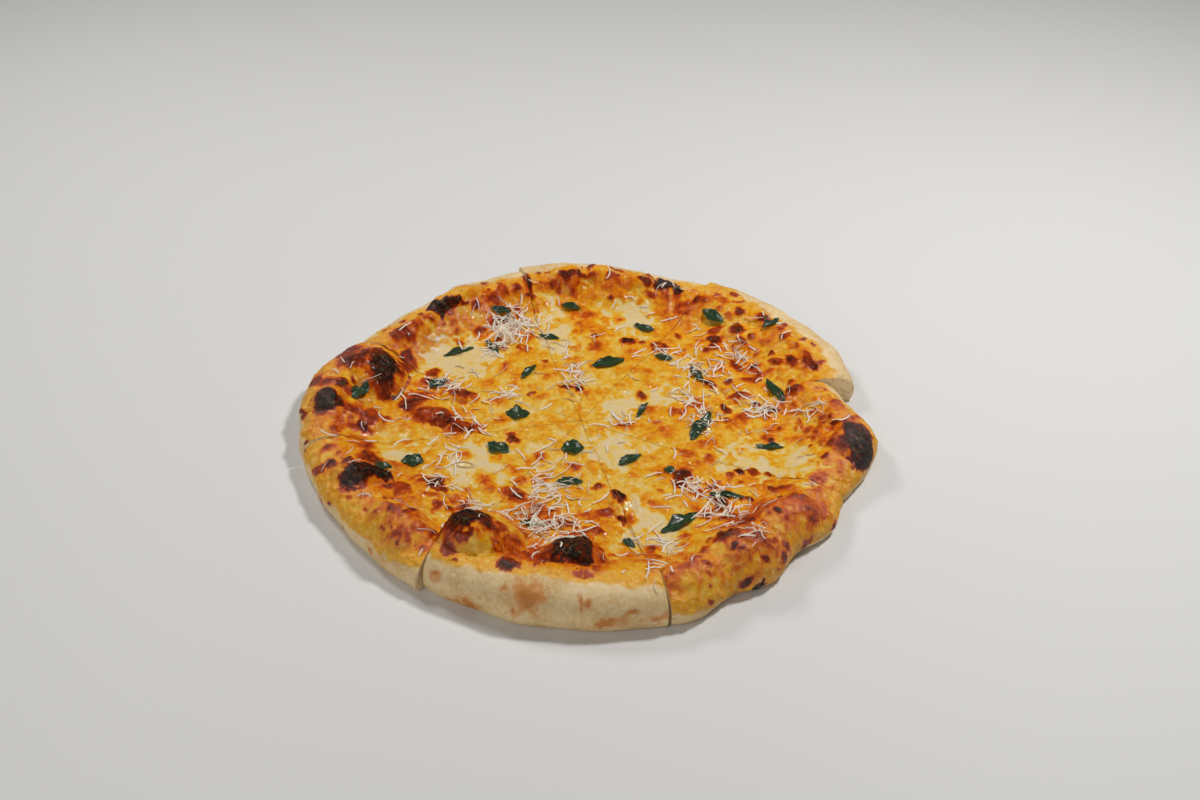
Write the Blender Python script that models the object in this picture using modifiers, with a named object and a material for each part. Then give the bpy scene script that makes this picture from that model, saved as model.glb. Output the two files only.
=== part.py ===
"""Margherita pizza, cut into eight slices that still lie together as one round.

Each slice has a baked crust with a raised rim, and a topping of tomato sauce and grated cheese
that runs through to its cuts. Pools of melted mozzarella lie on the topping.
Metres, +Z up. The origin is under the middle of the pizza, on the face that it rests on.
"""

import math

import bmesh
import bpy
from mathutils import Vector

# Driving dimensions. A reach is measured from the point where the cuts meet.
RIM_REACH = 0.165  # to the outside of an even rim
CREST_REACH = 0.149  # to the rim's highest line
RIM_START = 0.112  # to where the flat base begins to rise
FOOT_REACH = 0.159  # to the lower edge of the rim's outer wall
TOPPING_REACH = 0.141  # to the topping's edge on the rim's inner slope
BUBBLE_SHAPE = 0.85  # 0.5 is a ball's roundness, and more is softer at the foot
STRETCH_START = 0.050  # inside this reach the slices keep an even shape
RIM_HEIGHT = 0.022  # an even rim above the underside
WAIST_HEIGHT = 0.009  # the outer wall's widest line
BASE_THICKNESS = 0.0052  # dough under the topping
TOPPING_THICKNESS = 0.0030
TOPPING_EDGE = 0.0012  # topping where it thins out on the rim
MOZZARELLA_REACH = 0.136
MOZZARELLA_THICKNESS = 0.0015
LAYER_GAP = 0.00035  # between layers that lie on each other
CUT_GAP = 0.0007  # width of a cut near the middle
CUT_OPENING = 0.0009  # how far each side draws back from a cut at the rim
CUT_CENTRE = Vector((-0.0035, 0.0054))  # where the cuts meet, from the middle of the round

# Rows and columns of the surface
FLAT_ROWS = 5
SLOPE_ROWS = 6
WALL_ROWS = 6
COLUMN_DEGREES = 3.3
MERGE_DISTANCE = 0.0001
POOL_POINTS = 22

# Every slice from its first cut to its next one, anticlockwise from above, in degrees. Its reach
# and its rim's height are given at even steps from the first cut to the next.
SLICES = [
    dict(cuts=(-27, 10), reach=(0.161, 0.169, 0.174, 0.163, 0.156),
         height=(0.014, 0.021, 0.019), ripple=0.0004, waves=4.5, slide=0.0006),
    dict(cuts=(10, 58), reach=(0.170, 0.175, 0.173, 0.172, 0.170),
         height=(0.019, 0.020, 0.021), ripple=0.0005, waves=5.0, slide=0.0002),
    dict(cuts=(58, 105), reach=(0.168, 0.161, 0.162, 0.165, 0.166),
         height=(0.018, 0.024, 0.024), ripple=0.0005, waves=4.0, slide=0.0009),
    dict(cuts=(105, 153), reach=(0.160, 0.158, 0.155, 0.156, 0.159),
         height=(0.024, 0.024, 0.021), ripple=0.0004, waves=4.5, slide=0.0003),
    dict(cuts=(153, 190), reach=(0.162, 0.168, 0.170, 0.167, 0.165),
         height=(0.021, 0.022, 0.018), ripple=0.0005, waves=3.5, slide=0.0005),
    dict(cuts=(190, 238), reach=(0.164, 0.161, 0.159, 0.160, 0.163),
         height=(0.018, 0.020, 0.019), ripple=0.0005, waves=4.0, slide=0.0008),
    dict(cuts=(238, 285), reach=(0.159, 0.163, 0.167, 0.169, 0.172),
         height=(0.023, 0.025, 0.024), ripple=0.0006, waves=3.0, slide=0.0002),
    dict(cuts=(285, 333), reach=(0.171, 0.167, 0.165, 0.164, 0.166),
         height=(0.021, 0.021, 0.015), ripple=0.0025, waves=2.75, slide=0.0012),
]

# Bubbles that the oven raised: the way and the distance of the middle from the meeting point of
# the cuts, length along the rim, width across it, how far it stands up, and its turn in degrees.
BUBBLES = [
    dict(angle=347, distance=0.160, length=0.030, width=0.026, rise=0.0060),
    dict(angle=357, distance=0.150, length=0.030, width=0.016, rise=0.0030),
    dict(angle=39, distance=0.108, length=0.030, width=0.024, rise=0.0030),
    dict(angle=37, distance=0.130, length=0.032, width=0.020, rise=0.0025),
    dict(angle=20, distance=0.100, length=0.028, width=0.022, rise=0.0025),
    dict(angle=94, distance=0.140, length=0.026, width=0.022, rise=0.0050),
    dict(angle=85, distance=0.143, length=0.022, width=0.018, rise=0.0035),
    dict(angle=74, distance=0.140, length=0.024, width=0.018, rise=0.0025),
    dict(angle=126, distance=0.139, length=0.040, width=0.014, rise=0.0060),
    dict(angle=141, distance=0.133, length=0.044, width=0.014, rise=0.0035),
    dict(angle=115, distance=0.104, length=0.030, width=0.022, rise=0.0035),
    dict(angle=162, distance=0.130, length=0.042, width=0.034, rise=0.0115),
    dict(angle=177, distance=0.150, length=0.022, width=0.020, rise=0.0045),
    dict(angle=181, distance=0.124, length=0.024, width=0.014, rise=0.0035),
    dict(angle=176, distance=0.086, length=0.054, width=0.016, rise=0.0035, turn=61),
    dict(angle=161, distance=0.078, length=0.032, width=0.014, rise=0.0030, turn=90),
    dict(angle=206, distance=0.135, length=0.038, width=0.022, rise=0.0070, turn=65),
    dict(angle=217, distance=0.114, length=0.054, width=0.030, rise=0.0050),
    dict(angle=227, distance=0.141, length=0.044, width=0.034, rise=0.0085),
    dict(angle=244, distance=0.122, length=0.044, width=0.048, rise=0.0190),
    dict(angle=267, distance=0.122, length=0.040, width=0.034, rise=0.0120),
    dict(angle=286, distance=0.080, length=0.030, width=0.016, rise=0.0040, turn=90),
    dict(angle=291, distance=0.154, length=0.034, width=0.028, rise=0.0040),
    dict(angle=304, distance=0.151, length=0.040, width=0.036, rise=0.0070),
    dict(angle=319, distance=0.149, length=0.040, width=0.034, rise=0.0065),
    dict(angle=318, distance=0.110, length=0.040, width=0.020, rise=0.0035, turn=-30),
]

# Pools of melted mozzarella: the slice that each lies on, the way and the distance of its middle,
# its length and width, and the turn of its length from the rim's own direction in degrees.
POOLS = [
    dict(slice=4, angle=139, distance=0.100, length=0.052, width=0.042, turn=-20),
    dict(slice=3, angle=100, distance=0.096, length=0.024, width=0.052, turn=0),
    dict(slice=3, angle=74, distance=0.113, length=0.036, width=0.026, turn=0),
    dict(slice=2, angle=28, distance=0.027, length=0.018, width=0.026, turn=0),
    dict(slice=2, angle=26, distance=0.055, length=0.018, width=0.022, turn=0),
    dict(slice=6, angle=195, distance=0.108, length=0.016, width=0.040, turn=0),
    dict(slice=6, angle=216, distance=0.072, length=0.046, width=0.030, turn=0),
    dict(slice=8, angle=301, distance=0.037, length=0.028, width=0.030, turn=0),
    dict(slice=1, angle=339, distance=0.116, length=0.036, width=0.054, turn=0),
    dict(slice=8, angle=290, distance=0.106, length=0.028, width=0.052, turn=0),
]

COLOURS = {
    "crust": (0.62, 0.44, 0.22, 1.0),
    "topping": (0.80, 0.36, 0.05, 1.0),
    "mozzarella": (0.80, 0.68, 0.42, 1.0),
}
ROUGHNESS = {"crust": 0.8, "topping": 0.4, "mozzarella": 0.35}


def clear_scene():
    for thing in list(bpy.data.objects):
        bpy.data.objects.remove(thing, do_unlink=True)


def new_collection(name):
    collection = bpy.data.collections.new(name)
    bpy.context.scene.collection.children.link(collection)
    return collection


def new_material(name):
    material = bpy.data.materials.new(name)
    material.use_nodes = True
    shader = material.node_tree.nodes["Principled BSDF"]
    shader.inputs["Base Color"].default_value = COLOURS[name]
    shader.inputs["Roughness"].default_value = ROUGHNESS[name]
    shader.inputs["Metallic"].default_value = 0.0
    material.diffuse_color = COLOURS[name]
    return material


def smooth_step(low, high, value):
    share = min(1.0, max(0.0, (value - low) / (high - low)))
    return share * share * (3 - 2 * share)


def from_cut_to_cut(values, share):
    """The smooth curve through values that stand evenly from one cut to the next."""
    spot = share * (len(values) - 1)
    step = min(int(spot), len(values) - 2)
    part = spot - step
    before = 2 * values[0] - values[1]
    after = 2 * values[-1] - values[-2]
    first, second, third, fourth = (before, *values, after)[step:step + 4]
    bend = 2 * first - 5 * second + 4 * third - fourth
    twist = 3 * (second - third) + fourth - first
    return second + part / 2 * (third - first + part * (bend + part * twist))


def dough_top(reach):
    rise = RIM_HEIGHT - BASE_THICKNESS
    return BASE_THICKNESS + rise * smooth_step(RIM_START, CREST_REACH, reach)


def stations(last):
    """The reaches at which the layers have their rows, so that their faces run side by side."""
    flat = [RIM_START * row / FLAT_ROWS for row in range(FLAT_ROWS)]
    step = (CREST_REACH - RIM_START) / SLOPE_ROWS
    slope = [RIM_START + step * row for row in range(SLOPE_ROWS + 1)]
    inside = [reach for reach in flat + slope if reach < last - MERGE_DISTANCE]
    return inside + [last]


def crust_profile():
    points = [(reach, dough_top(reach)) for reach in stations(TOPPING_REACH)]
    points.append((CREST_REACH, RIM_HEIGHT))
    for row in range(1, WALL_ROWS + 1):
        turn = math.pi * row / WALL_ROWS
        inner = CREST_REACH if turn < math.pi / 2 else FOOT_REACH
        swing = RIM_HEIGHT - WAIST_HEIGHT if turn < math.pi / 2 else WAIST_HEIGHT
        reach = inner + (RIM_REACH - inner) * math.sin(turn)
        points.append((reach, WAIST_HEIGHT + swing * math.cos(turn)))
    points.append((0.0, 0.0))
    return points


def topping_top(reach):
    thinning = smooth_step(RIM_START, TOPPING_REACH, reach)
    thickness = TOPPING_THICKNESS + (TOPPING_EDGE - TOPPING_THICKNESS) * thinning
    return dough_top(reach) + LAYER_GAP + thickness


def layer_profile(last, lower, upper):
    """A layer's outline from its middle above, out to its edge and back to its middle below."""
    reaches = stations(last)
    above = [(reach, upper(reach)) for reach in reaches]
    below = [(reach, lower(reach)) for reach in reversed(reaches)]
    return above + below


def topping_profile():
    return layer_profile(TOPPING_REACH, lambda reach: dough_top(reach) + LAYER_GAP, topping_top)


def mozzarella_profile():
    def lower(reach):
        return topping_top(reach) + LAYER_GAP

    def upper(reach):
        return lower(reach) + MOZZARELLA_THICKNESS

    return layer_profile(MOZZARELLA_REACH, lower, upper)


def turned_wedge(profile, span):
    """The mesh of a profile turned through a slice's angle, still open at both cuts."""
    mesh = bpy.data.meshes.new("profile")
    points = [(reach, 0.0, height) for reach, height in profile]
    edges = [(row, row + 1) for row in range(len(points) - 1)]
    mesh.from_pydata(points, edges, [])
    turned = bpy.data.objects.new("profile", mesh)
    bpy.context.scene.collection.objects.link(turned)
    screw = turned.modifiers.new("turn", "SCREW")
    screw.angle = math.radians(span)
    screw.steps = max(4, round(span / COLUMN_DEGREES))
    screw.render_steps = screw.steps
    screw.use_merge_vertices = True
    screw.merge_threshold = MERGE_DISTANCE
    depsgraph = bpy.context.evaluated_depsgraph_get()
    wedge = bpy.data.meshes.new_from_object(turned.evaluated_get(depsgraph))
    bpy.data.objects.remove(turned, do_unlink=True)
    return wedge


def close_cuts(shape, span):
    """Puts a face on each cut, between the profile's copy there and the upright through the tip."""
    tip = sorted((v for v in shape.verts if v.co.xy.length < MERGE_DISTANCE), key=lambda v: v.co.z)
    upright = shape.edges.new((tip[0], tip[-1]))
    rim = [edge for edge in shape.edges if edge.is_boundary]
    half = math.radians(span) / 2
    for side in (False, True):
        outline = [upright]
        for edge in rim:
            middle = (edge.verts[0].co + edge.verts[1].co) / 2
            if (abs(math.atan2(middle.y, middle.x)) > half) == side:
                outline.append(edge)
        bmesh.ops.contextual_create(shape, geom=outline)


def split_squares(shape):
    """Every square gets its diagonal from its near first corner, in all layers alike."""
    for face in [face for face in shape.faces if len(face.verts) == 4]:
        corners = list(face.verts)
        keys = [v.co.xy.length / RIM_REACH + abs(math.atan2(v.co.y, v.co.x)) for v in corners]
        first = keys.index(min(keys))
        bmesh.utils.face_split(face, corners[first], corners[(first + 2) % 4])


def bubble_rise(spot):
    """How far the bubbles lift the surface over a spot, measured from the cuts' meeting point."""
    rise = 0.0
    for bubble in BUBBLES:
        way = math.radians(bubble["angle"])
        outward = Vector((math.cos(way), math.sin(way)))
        offset = spot - outward * bubble["distance"]
        turn = way + math.radians(90 + bubble.get("turn", 0))
        along = Vector((math.cos(turn), math.sin(turn)))
        across = Vector((-along.y, along.x))
        share = (offset.dot(along) * 2 / bubble["length"]) ** 2
        share += (offset.dot(across) * 2 / bubble["width"]) ** 2
        if share < 1:
            rise += bubble["rise"] * (1 - share) ** BUBBLE_SHAPE
    return rise


def place(piece, reach, share, height):
    """Where a point of the even slice goes on a real one, share being 0 to 1 from cut to cut."""
    first, last = (math.radians(cut) for cut in piece["cuts"])
    middle = (first + last) / 2
    half = (last - first) / 2
    rim = from_cut_to_cut(piece["reach"], share)
    rim += piece["ripple"] * math.sin(2 * math.pi * piece["waves"] * share)
    stretch = 1 + (rim / RIM_REACH - 1) * smooth_step(STRETCH_START, RIM_REACH, reach)
    reach_now = reach * stretch
    way = first + (last - first) * share
    spot = Vector((math.cos(way), math.sin(way))) * reach_now
    lift = from_cut_to_cut(piece["height"], share) - RIM_HEIGHT
    lift *= smooth_step(RIM_START, CREST_REACH, reach)
    lift += bubble_rise(spot)
    lift *= min(1.0, height / dough_top(min(reach, CREST_REACH)))
    opening = CUT_OPENING * max(0.0, (reach - RIM_START) / (RIM_REACH - RIM_START))
    drawn_in = 1 - opening / (max(reach_now, RIM_START) * half)
    way = middle + (way - middle) * drawn_in
    tip = CUT_GAP / 2 / math.sin(half) + piece["slide"]
    bisector = Vector((math.cos(middle), math.sin(middle)))
    spot = CUT_CENTRE + bisector * tip + Vector((math.cos(way), math.sin(way))) * reach_now
    return Vector((spot.x, spot.y, height + lift))


def slice_mesh(name, profile, piece):
    """One closed layer of a slice, from its profile."""
    span = piece["cuts"][1] - piece["cuts"][0]
    wedge = turned_wedge(profile, span)
    shape = bmesh.new()
    shape.from_mesh(wedge)
    bpy.data.meshes.remove(wedge)
    bmesh.ops.remove_doubles(shape, verts=shape.verts, dist=MERGE_DISTANCE)
    close_cuts(shape, span)
    split_squares(shape)
    caps = [face for face in shape.faces if len(face.verts) > 4]
    bmesh.ops.triangulate(shape, faces=caps, ngon_method="EAR_CLIP")
    for point in shape.verts:
        share = abs(math.atan2(point.co.y, point.co.x)) / math.radians(span)
        point.co = place(piece, point.co.xy.length, share, point.co.z)
    bmesh.ops.recalc_face_normals(shape, faces=shape.faces)
    if shape.calc_volume(signed=True) < 0:
        bmesh.ops.reverse_faces(shape, faces=shape.faces)
    mesh = bpy.data.meshes.new(name)
    shape.to_mesh(mesh)
    shape.free()
    mesh.shade_smooth()
    mesh.set_sharp_from_angle(angle=math.radians(40))
    return mesh


def new_part(name, mesh, material, collection, origin):
    part = bpy.data.objects.new(name, mesh)
    collection.objects.link(part)
    part.parent = origin
    mesh.materials.append(material)
    return part


def pool_cutter(name, pool, collection, origin):
    """An upright block with the uneven outline of a pool of melted mozzarella."""
    curve = bpy.data.curves.new(name, "CURVE")
    curve.dimensions = "2D"
    curve.fill_mode = "BOTH"
    curve.extrude = RIM_HEIGHT
    spline = curve.splines.new("POLY")
    spline.points.add(POOL_POINTS - 1)
    for number, point in enumerate(spline.points):
        turn = 2 * math.pi * number / POOL_POINTS
        swell = 1 + 0.10 * math.sin(2 * turn + pool["angle"]) + 0.07 * math.sin(3 * turn)
        point.co.x = pool["length"] / 2 * swell * math.cos(turn)
        point.co.y = pool["width"] / 2 * swell * math.sin(turn)
    spline.use_cyclic_u = True
    drawn = bpy.data.objects.new(name, curve)
    bpy.context.scene.collection.objects.link(drawn)
    depsgraph = bpy.context.evaluated_depsgraph_get()
    mesh = bpy.data.meshes.new_from_object(drawn.evaluated_get(depsgraph))
    bpy.data.objects.remove(drawn, do_unlink=True)
    shape = bmesh.new()
    shape.from_mesh(mesh)
    bmesh.ops.remove_doubles(shape, verts=shape.verts, dist=MERGE_DISTANCE)
    shape.to_mesh(mesh)
    shape.free()
    cutter = bpy.data.objects.new(name, mesh)
    collection.objects.link(cutter)
    way = math.radians(pool["angle"])
    spot = CUT_CENTRE + Vector((math.cos(way), math.sin(way))) * pool["distance"]
    cutter.location = (spot.x, spot.y, RIM_HEIGHT / 2)
    cutter.rotation_euler.z = way + math.radians(90 + pool["turn"])
    cutter.parent = origin
    cutter.hide_render = True
    cutter.display_type = "WIRE"
    return cutter


def centre_on_origin(parts, origin):
    """Moves everything so that the middle of the whole round's box is over the origin."""
    bpy.context.view_layer.update()
    depsgraph = bpy.context.evaluated_depsgraph_get()
    corners = []
    for part in parts:
        shown = part.evaluated_get(depsgraph)
        corners += [shown.matrix_world @ vertex.co for vertex in shown.data.vertices]
    for axis in (0, 1):
        values = [corner[axis] for corner in corners]
        origin.location[axis] = -(min(values) + max(values)) / 2


def main():
    clear_scene()
    pizza = new_collection("margherita_pizza")
    cutters = new_collection("cutters")
    materials = {name: new_material(name) for name in COLOURS}
    origin = bpy.data.objects.new("pizza_middle", None)
    pizza.objects.link(origin)
    parts = []
    for number, piece in enumerate(SLICES, start=1):
        for kind, profile in (("crust", crust_profile()), ("topping", topping_profile())):
            name = f"{kind}_{number}"
            mesh = slice_mesh(name, profile, piece)
            parts.append(new_part(name, mesh, materials[kind], pizza, origin))
    for number, pool in enumerate(POOLS, start=1):
        name = f"mozzarella_{number}"
        mesh = slice_mesh(name, mozzarella_profile(), SLICES[pool["slice"] - 1])
        part = new_part(name, mesh, materials["mozzarella"], pizza, origin)
        cut = part.modifiers.new("pool", "BOOLEAN")
        cut.operation = "INTERSECT"
        cut.solver = "EXACT"
        cut.object = pool_cutter(f"{name}_outline", pool, cutters, origin)
        parts.append(part)
    centre_on_origin(parts, origin)


main()
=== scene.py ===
import math

import bpy
import numpy as np
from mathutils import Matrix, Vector
from mathutils.bvhtree import BVHTree


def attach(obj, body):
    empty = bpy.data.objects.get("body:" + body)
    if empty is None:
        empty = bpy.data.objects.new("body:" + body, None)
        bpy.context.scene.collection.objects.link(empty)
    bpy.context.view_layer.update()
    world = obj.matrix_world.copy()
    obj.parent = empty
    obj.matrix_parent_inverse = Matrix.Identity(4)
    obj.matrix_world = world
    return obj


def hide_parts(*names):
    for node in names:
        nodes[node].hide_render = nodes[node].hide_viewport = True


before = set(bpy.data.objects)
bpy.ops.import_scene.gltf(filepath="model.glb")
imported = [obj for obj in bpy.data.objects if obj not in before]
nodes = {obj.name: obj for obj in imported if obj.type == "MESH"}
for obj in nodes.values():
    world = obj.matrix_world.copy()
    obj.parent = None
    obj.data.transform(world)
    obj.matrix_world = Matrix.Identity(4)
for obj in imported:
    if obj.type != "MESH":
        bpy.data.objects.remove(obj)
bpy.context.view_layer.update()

scene = bpy.context.scene

# The even slice, in metres. A path runs from the slice's tip over its top and down its outer wall.
dough = {
    "rimReach": 0.165,
    "crestReach": 0.149,
    "rimStart": 0.112,
    "footReach": 0.161,
    "toppingReach": 0.141,
    "stretchStart": 0.050,
    "rimHeight": 0.022,
    "waistHeight": 0.009,
    "baseThickness": 0.0052,
    "toppingThickness": 0.0033,
    "toppingEdge": 0.0015,
    "cutGap": 0.0001,
    "cutOpening": 0.0009,
    "bubbleShape": 0.85,
    "cutWander": 0.0010,
}

# Every slice from its first cut to its next one, anticlockwise from above
slices = {
    1: {"cuts": (-27, 10), "reach": (0.161, 0.169, 0.174, 0.163, 0.156),
        "height": (0.014, 0.021, 0.019), "ripple": 0.0004, "waves": 4.5, "slide": 0.0006},
    2: {"cuts": (10, 58), "reach": (0.170, 0.175, 0.173, 0.172, 0.170),
        "height": (0.019, 0.020, 0.021), "ripple": 0.0005, "waves": 5.0, "slide": 0.0002},
    3: {"cuts": (58, 105), "reach": (0.168, 0.161, 0.162, 0.165, 0.166),
        "height": (0.018, 0.024, 0.024), "ripple": 0.0005, "waves": 4.0, "slide": 0.0009},
    4: {"cuts": (105, 153), "reach": (0.160, 0.158, 0.155, 0.156, 0.159),
        "height": (0.024, 0.024, 0.021), "ripple": 0.0004, "waves": 4.5, "slide": 0.0003},
    5: {"cuts": (153, 190), "reach": (0.162, 0.168, 0.170, 0.167, 0.165),
        "height": (0.021, 0.022, 0.018), "ripple": 0.0005, "waves": 3.5, "slide": 0.0005},
    6: {"cuts": (190, 238), "reach": (0.164, 0.161, 0.159, 0.160, 0.163),
        "height": (0.018, 0.020, 0.019), "ripple": 0.0005, "waves": 4.0, "slide": 0.0008},
    7: {"cuts": (238, 285), "reach": (0.159, 0.163, 0.167, 0.169, 0.172),
        "height": (0.023, 0.025, 0.024), "ripple": 0.0006, "waves": 3.0, "slide": 0.0002},
    8: {"cuts": (285, 333), "reach": (0.171, 0.167, 0.165, 0.164, 0.166),
        "height": (0.021, 0.021, 0.015), "ripple": 0.0025, "waves": 2.75, "slide": 0.0012},
}

# Way in degrees, distance from the cuts' meeting point, length, width, rise, and the length's turn
bubbles = [
    (347, 0.160, 0.030, 0.026, 0.0060, 0),
    (357, 0.150, 0.030, 0.016, 0.0030, 0),
    (39, 0.108, 0.030, 0.024, 0.0030, 0),
    (37, 0.130, 0.032, 0.020, 0.0025, 0),
    (20, 0.100, 0.028, 0.022, 0.0025, 0),
    (94, 0.140, 0.026, 0.022, 0.0050, 0),
    (85, 0.143, 0.022, 0.018, 0.0035, 0),
    (74, 0.140, 0.024, 0.018, 0.0025, 0),
    (126, 0.139, 0.040, 0.014, 0.0060, 0),
    (141, 0.133, 0.044, 0.014, 0.0035, 0),
    (115, 0.104, 0.030, 0.022, 0.0035, 0),
    (162, 0.130, 0.042, 0.034, 0.0115, 0),
    (177, 0.150, 0.022, 0.020, 0.0045, 0),
    (181, 0.124, 0.024, 0.014, 0.0035, 0),
    (176, 0.086, 0.054, 0.016, 0.0035, 61),
    (161, 0.078, 0.032, 0.014, 0.0030, 90),
    (206, 0.135, 0.038, 0.022, 0.0070, 65),
    (217, 0.114, 0.054, 0.030, 0.0050, 0),
    (227, 0.141, 0.044, 0.034, 0.0085, 0),
    (244, 0.122, 0.044, 0.048, 0.0190, 0),
    (267, 0.122, 0.040, 0.034, 0.0120, 0),
    (286, 0.080, 0.030, 0.016, 0.0040, 90),
    (291, 0.154, 0.034, 0.028, 0.0040, 0),
    (304, 0.151, 0.040, 0.036, 0.0070, 0),
    (319, 0.149, 0.040, 0.034, 0.0065, 0),
    (318, 0.110, 0.040, 0.020, 0.0035, -30),
]

tips = []
for number in slices:
    points = [vertex.co.xy for vertex in nodes[f"crust_{number}"].data.vertices]
    tips.append(min(points, key=lambda point: point.length))
cutCentre = sum(tips, Vector((0.0, 0.0))) / len(tips)
print("the cuts meet at", tuple(round(value, 4) for value in cutCentre))


def smoothStep(low, high, value):
    share = np.clip((value - low) / (high - low), 0, 1)
    return share * share * (3 - 2 * share)


def fromCutToCut(values, share):  # a smooth curve through values that stand evenly
    values = np.array(values)
    padded = np.concatenate(([2 * values[0] - values[1]], values, [2 * values[-1] - values[-2]]))
    spot = share * (len(values) - 1)
    step = np.clip(spot.astype(int), 0, len(values) - 2)
    part = spot - step
    first, second, third, fourth = (padded[step + offset] for offset in range(4))
    bend = 2 * first - 5 * second + 4 * third - fourth
    twist = 3 * (second - third) + fourth - first
    return second + part / 2 * (third - first + part * (bend + part * twist))


def noise(x, y, size, seed):  # smooth, between about -1 and 1, with features as large as size
    table = np.random.default_rng(seed).uniform(-1, 1, (128, 128))
    x, y = x / size, y / size
    column, row = np.floor(x).astype(int), np.floor(y).astype(int)
    x, y = x - column, y - row
    x, y = x * x * (3 - 2 * x), y * y * (3 - 2 * y)
    column, row = column % 127, row % 127
    low = table[column, row] * (1 - x) + table[column + 1, row] * x
    high = table[column, row + 1] * (1 - x) + table[column + 1, row + 1] * x
    return low * (1 - y) + high * y


def ovalShare(x, y, way, distance, length, width, turn):  # 0 in the oval's middle, 1 on its edge
    way = math.radians(way)
    offsetX, offsetY = x - math.cos(way) * distance, y - math.sin(way) * distance
    turn = way + math.radians(90 + turn)
    along = offsetX * math.cos(turn) + offsetY * math.sin(turn)
    across = offsetY * math.cos(turn) - offsetX * math.sin(turn)
    return (along * 2 / length) ** 2 + (across * 2 / width) ** 2


def doughTop(reach):
    rise = dough["rimHeight"] - dough["baseThickness"]
    return dough["baseThickness"] + rise * smoothStep(dough["rimStart"], dough["crestReach"], reach)


def toppingDepth(reach):
    thinning = smoothStep(dough["rimStart"], dough["toppingReach"], reach)
    depth = dough["toppingThickness"] * (1 - thinning) + dough["toppingEdge"] * thinning
    return depth * (1 - smoothStep(dough["toppingReach"], dough["crestReach"], reach))


def placed(piece, reach, share, height):  # where a point of the even slice goes on a real one
    first, last = (math.radians(cut) for cut in piece["cuts"])
    middle, half = (first + last) / 2, (last - first) / 2
    rim = fromCutToCut(piece["reach"], share)
    rim = rim + piece["ripple"] * np.sin(2 * math.pi * piece["waves"] * share)
    growth = smoothStep(dough["stretchStart"], dough["rimReach"], reach)
    reachNow = reach * (1 + (rim / dough["rimReach"] - 1) * growth)
    way = first + (last - first) * share
    x, y = np.cos(way) * reachNow, np.sin(way) * reachNow
    lift = fromCutToCut(piece["height"], share) - dough["rimHeight"]
    lift = lift * smoothStep(dough["rimStart"], dough["crestReach"], reach)
    for *oval, rise, turn in bubbles:
        inside = np.clip(1 - ovalShare(x, y, *oval, turn), 0, 1)
        lift = lift + rise * inside ** dough["bubbleShape"]
    lift = lift * np.minimum(1, height / doughTop(np.minimum(reach, dough["crestReach"])))
    opening = np.maximum(0, reach - dough["rimStart"]) / (dough["rimReach"] - dough["rimStart"])
    opening = dough["cutOpening"] * opening / (np.maximum(reachNow, dough["rimStart"]) * half)
    way = middle + (way - middle) * (1 - opening)
    wander = [dough["cutWander"] * noise(reachNow, reachNow * 0 + cut % 360 / 1000, 0.016, 3)
              for cut in piece["cuts"]]
    way = way + (wander[0] * (1 - share) + wander[1] * share) / np.maximum(reachNow, 0.012)
    tip = dough["cutGap"] / 2 / math.sin(half) + piece["slide"] * 0.3
    x = cutCentre.x + math.cos(middle) * tip + np.cos(way) * reachNow
    y = cutCentre.y + math.sin(middle) * tip + np.sin(way) * reachNow
    return np.stack((x, y, height + lift), axis=-1), way, reachNow


wallTurns = np.linspace(0, math.pi, 61)
wallInner = np.where(wallTurns < math.pi / 2, dough["crestReach"], dough["footReach"])
wallReaches = wallInner + (dough["rimReach"] - wallInner) * np.sin(wallTurns)
wallSwing = np.where(wallTurns < math.pi / 2, dough["rimHeight"] - dough["waistHeight"],
                     dough["waistHeight"])
wallHeights = dough["waistHeight"] + wallSwing * np.cos(wallTurns)
wallSteps = np.hypot(np.diff(wallReaches), np.diff(wallHeights))
wallPaths = dough["crestReach"] + np.concatenate(([0], np.cumsum(wallSteps)))
pathEnd = float(wallPaths[-1])


def skin(piece, path, share):  # the slice's outer surface before its small relief
    reach = np.where(path < dough["crestReach"], path, np.interp(path, wallPaths, wallReaches))
    height = doughTop(np.minimum(path, dough["crestReach"])) + toppingDepth(path)
    height = np.where(path < dough["crestReach"], height, np.interp(path, wallPaths, wallHeights))
    points, way, reachNow = placed(piece, reach, share, height)
    crest = placed(piece, np.minimum(reach, dough["crestReach"]), share, height)[2]
    spread = np.where(path < dough["crestReach"], reachNow, crest + path - dough["crestReach"])
    return points, way, spread


def outward(piece, path, share):  # the outer surface's normals
    step = 0.0006
    ahead = skin(piece, np.minimum(path + step, pathEnd), share)[0]
    behind = skin(piece, np.maximum(path - step, 1e-4), share)[0]
    left = skin(piece, path, np.minimum(share + 0.01, 1))[0]
    right = skin(piece, path, np.maximum(share - 0.01, 0))[0]
    normals = np.cross(ahead - behind, left - right)
    normals[path < 0.003] = (0, 0, 1)
    return normals / np.linalg.norm(normals, axis=-1, keepdims=True)

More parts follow.
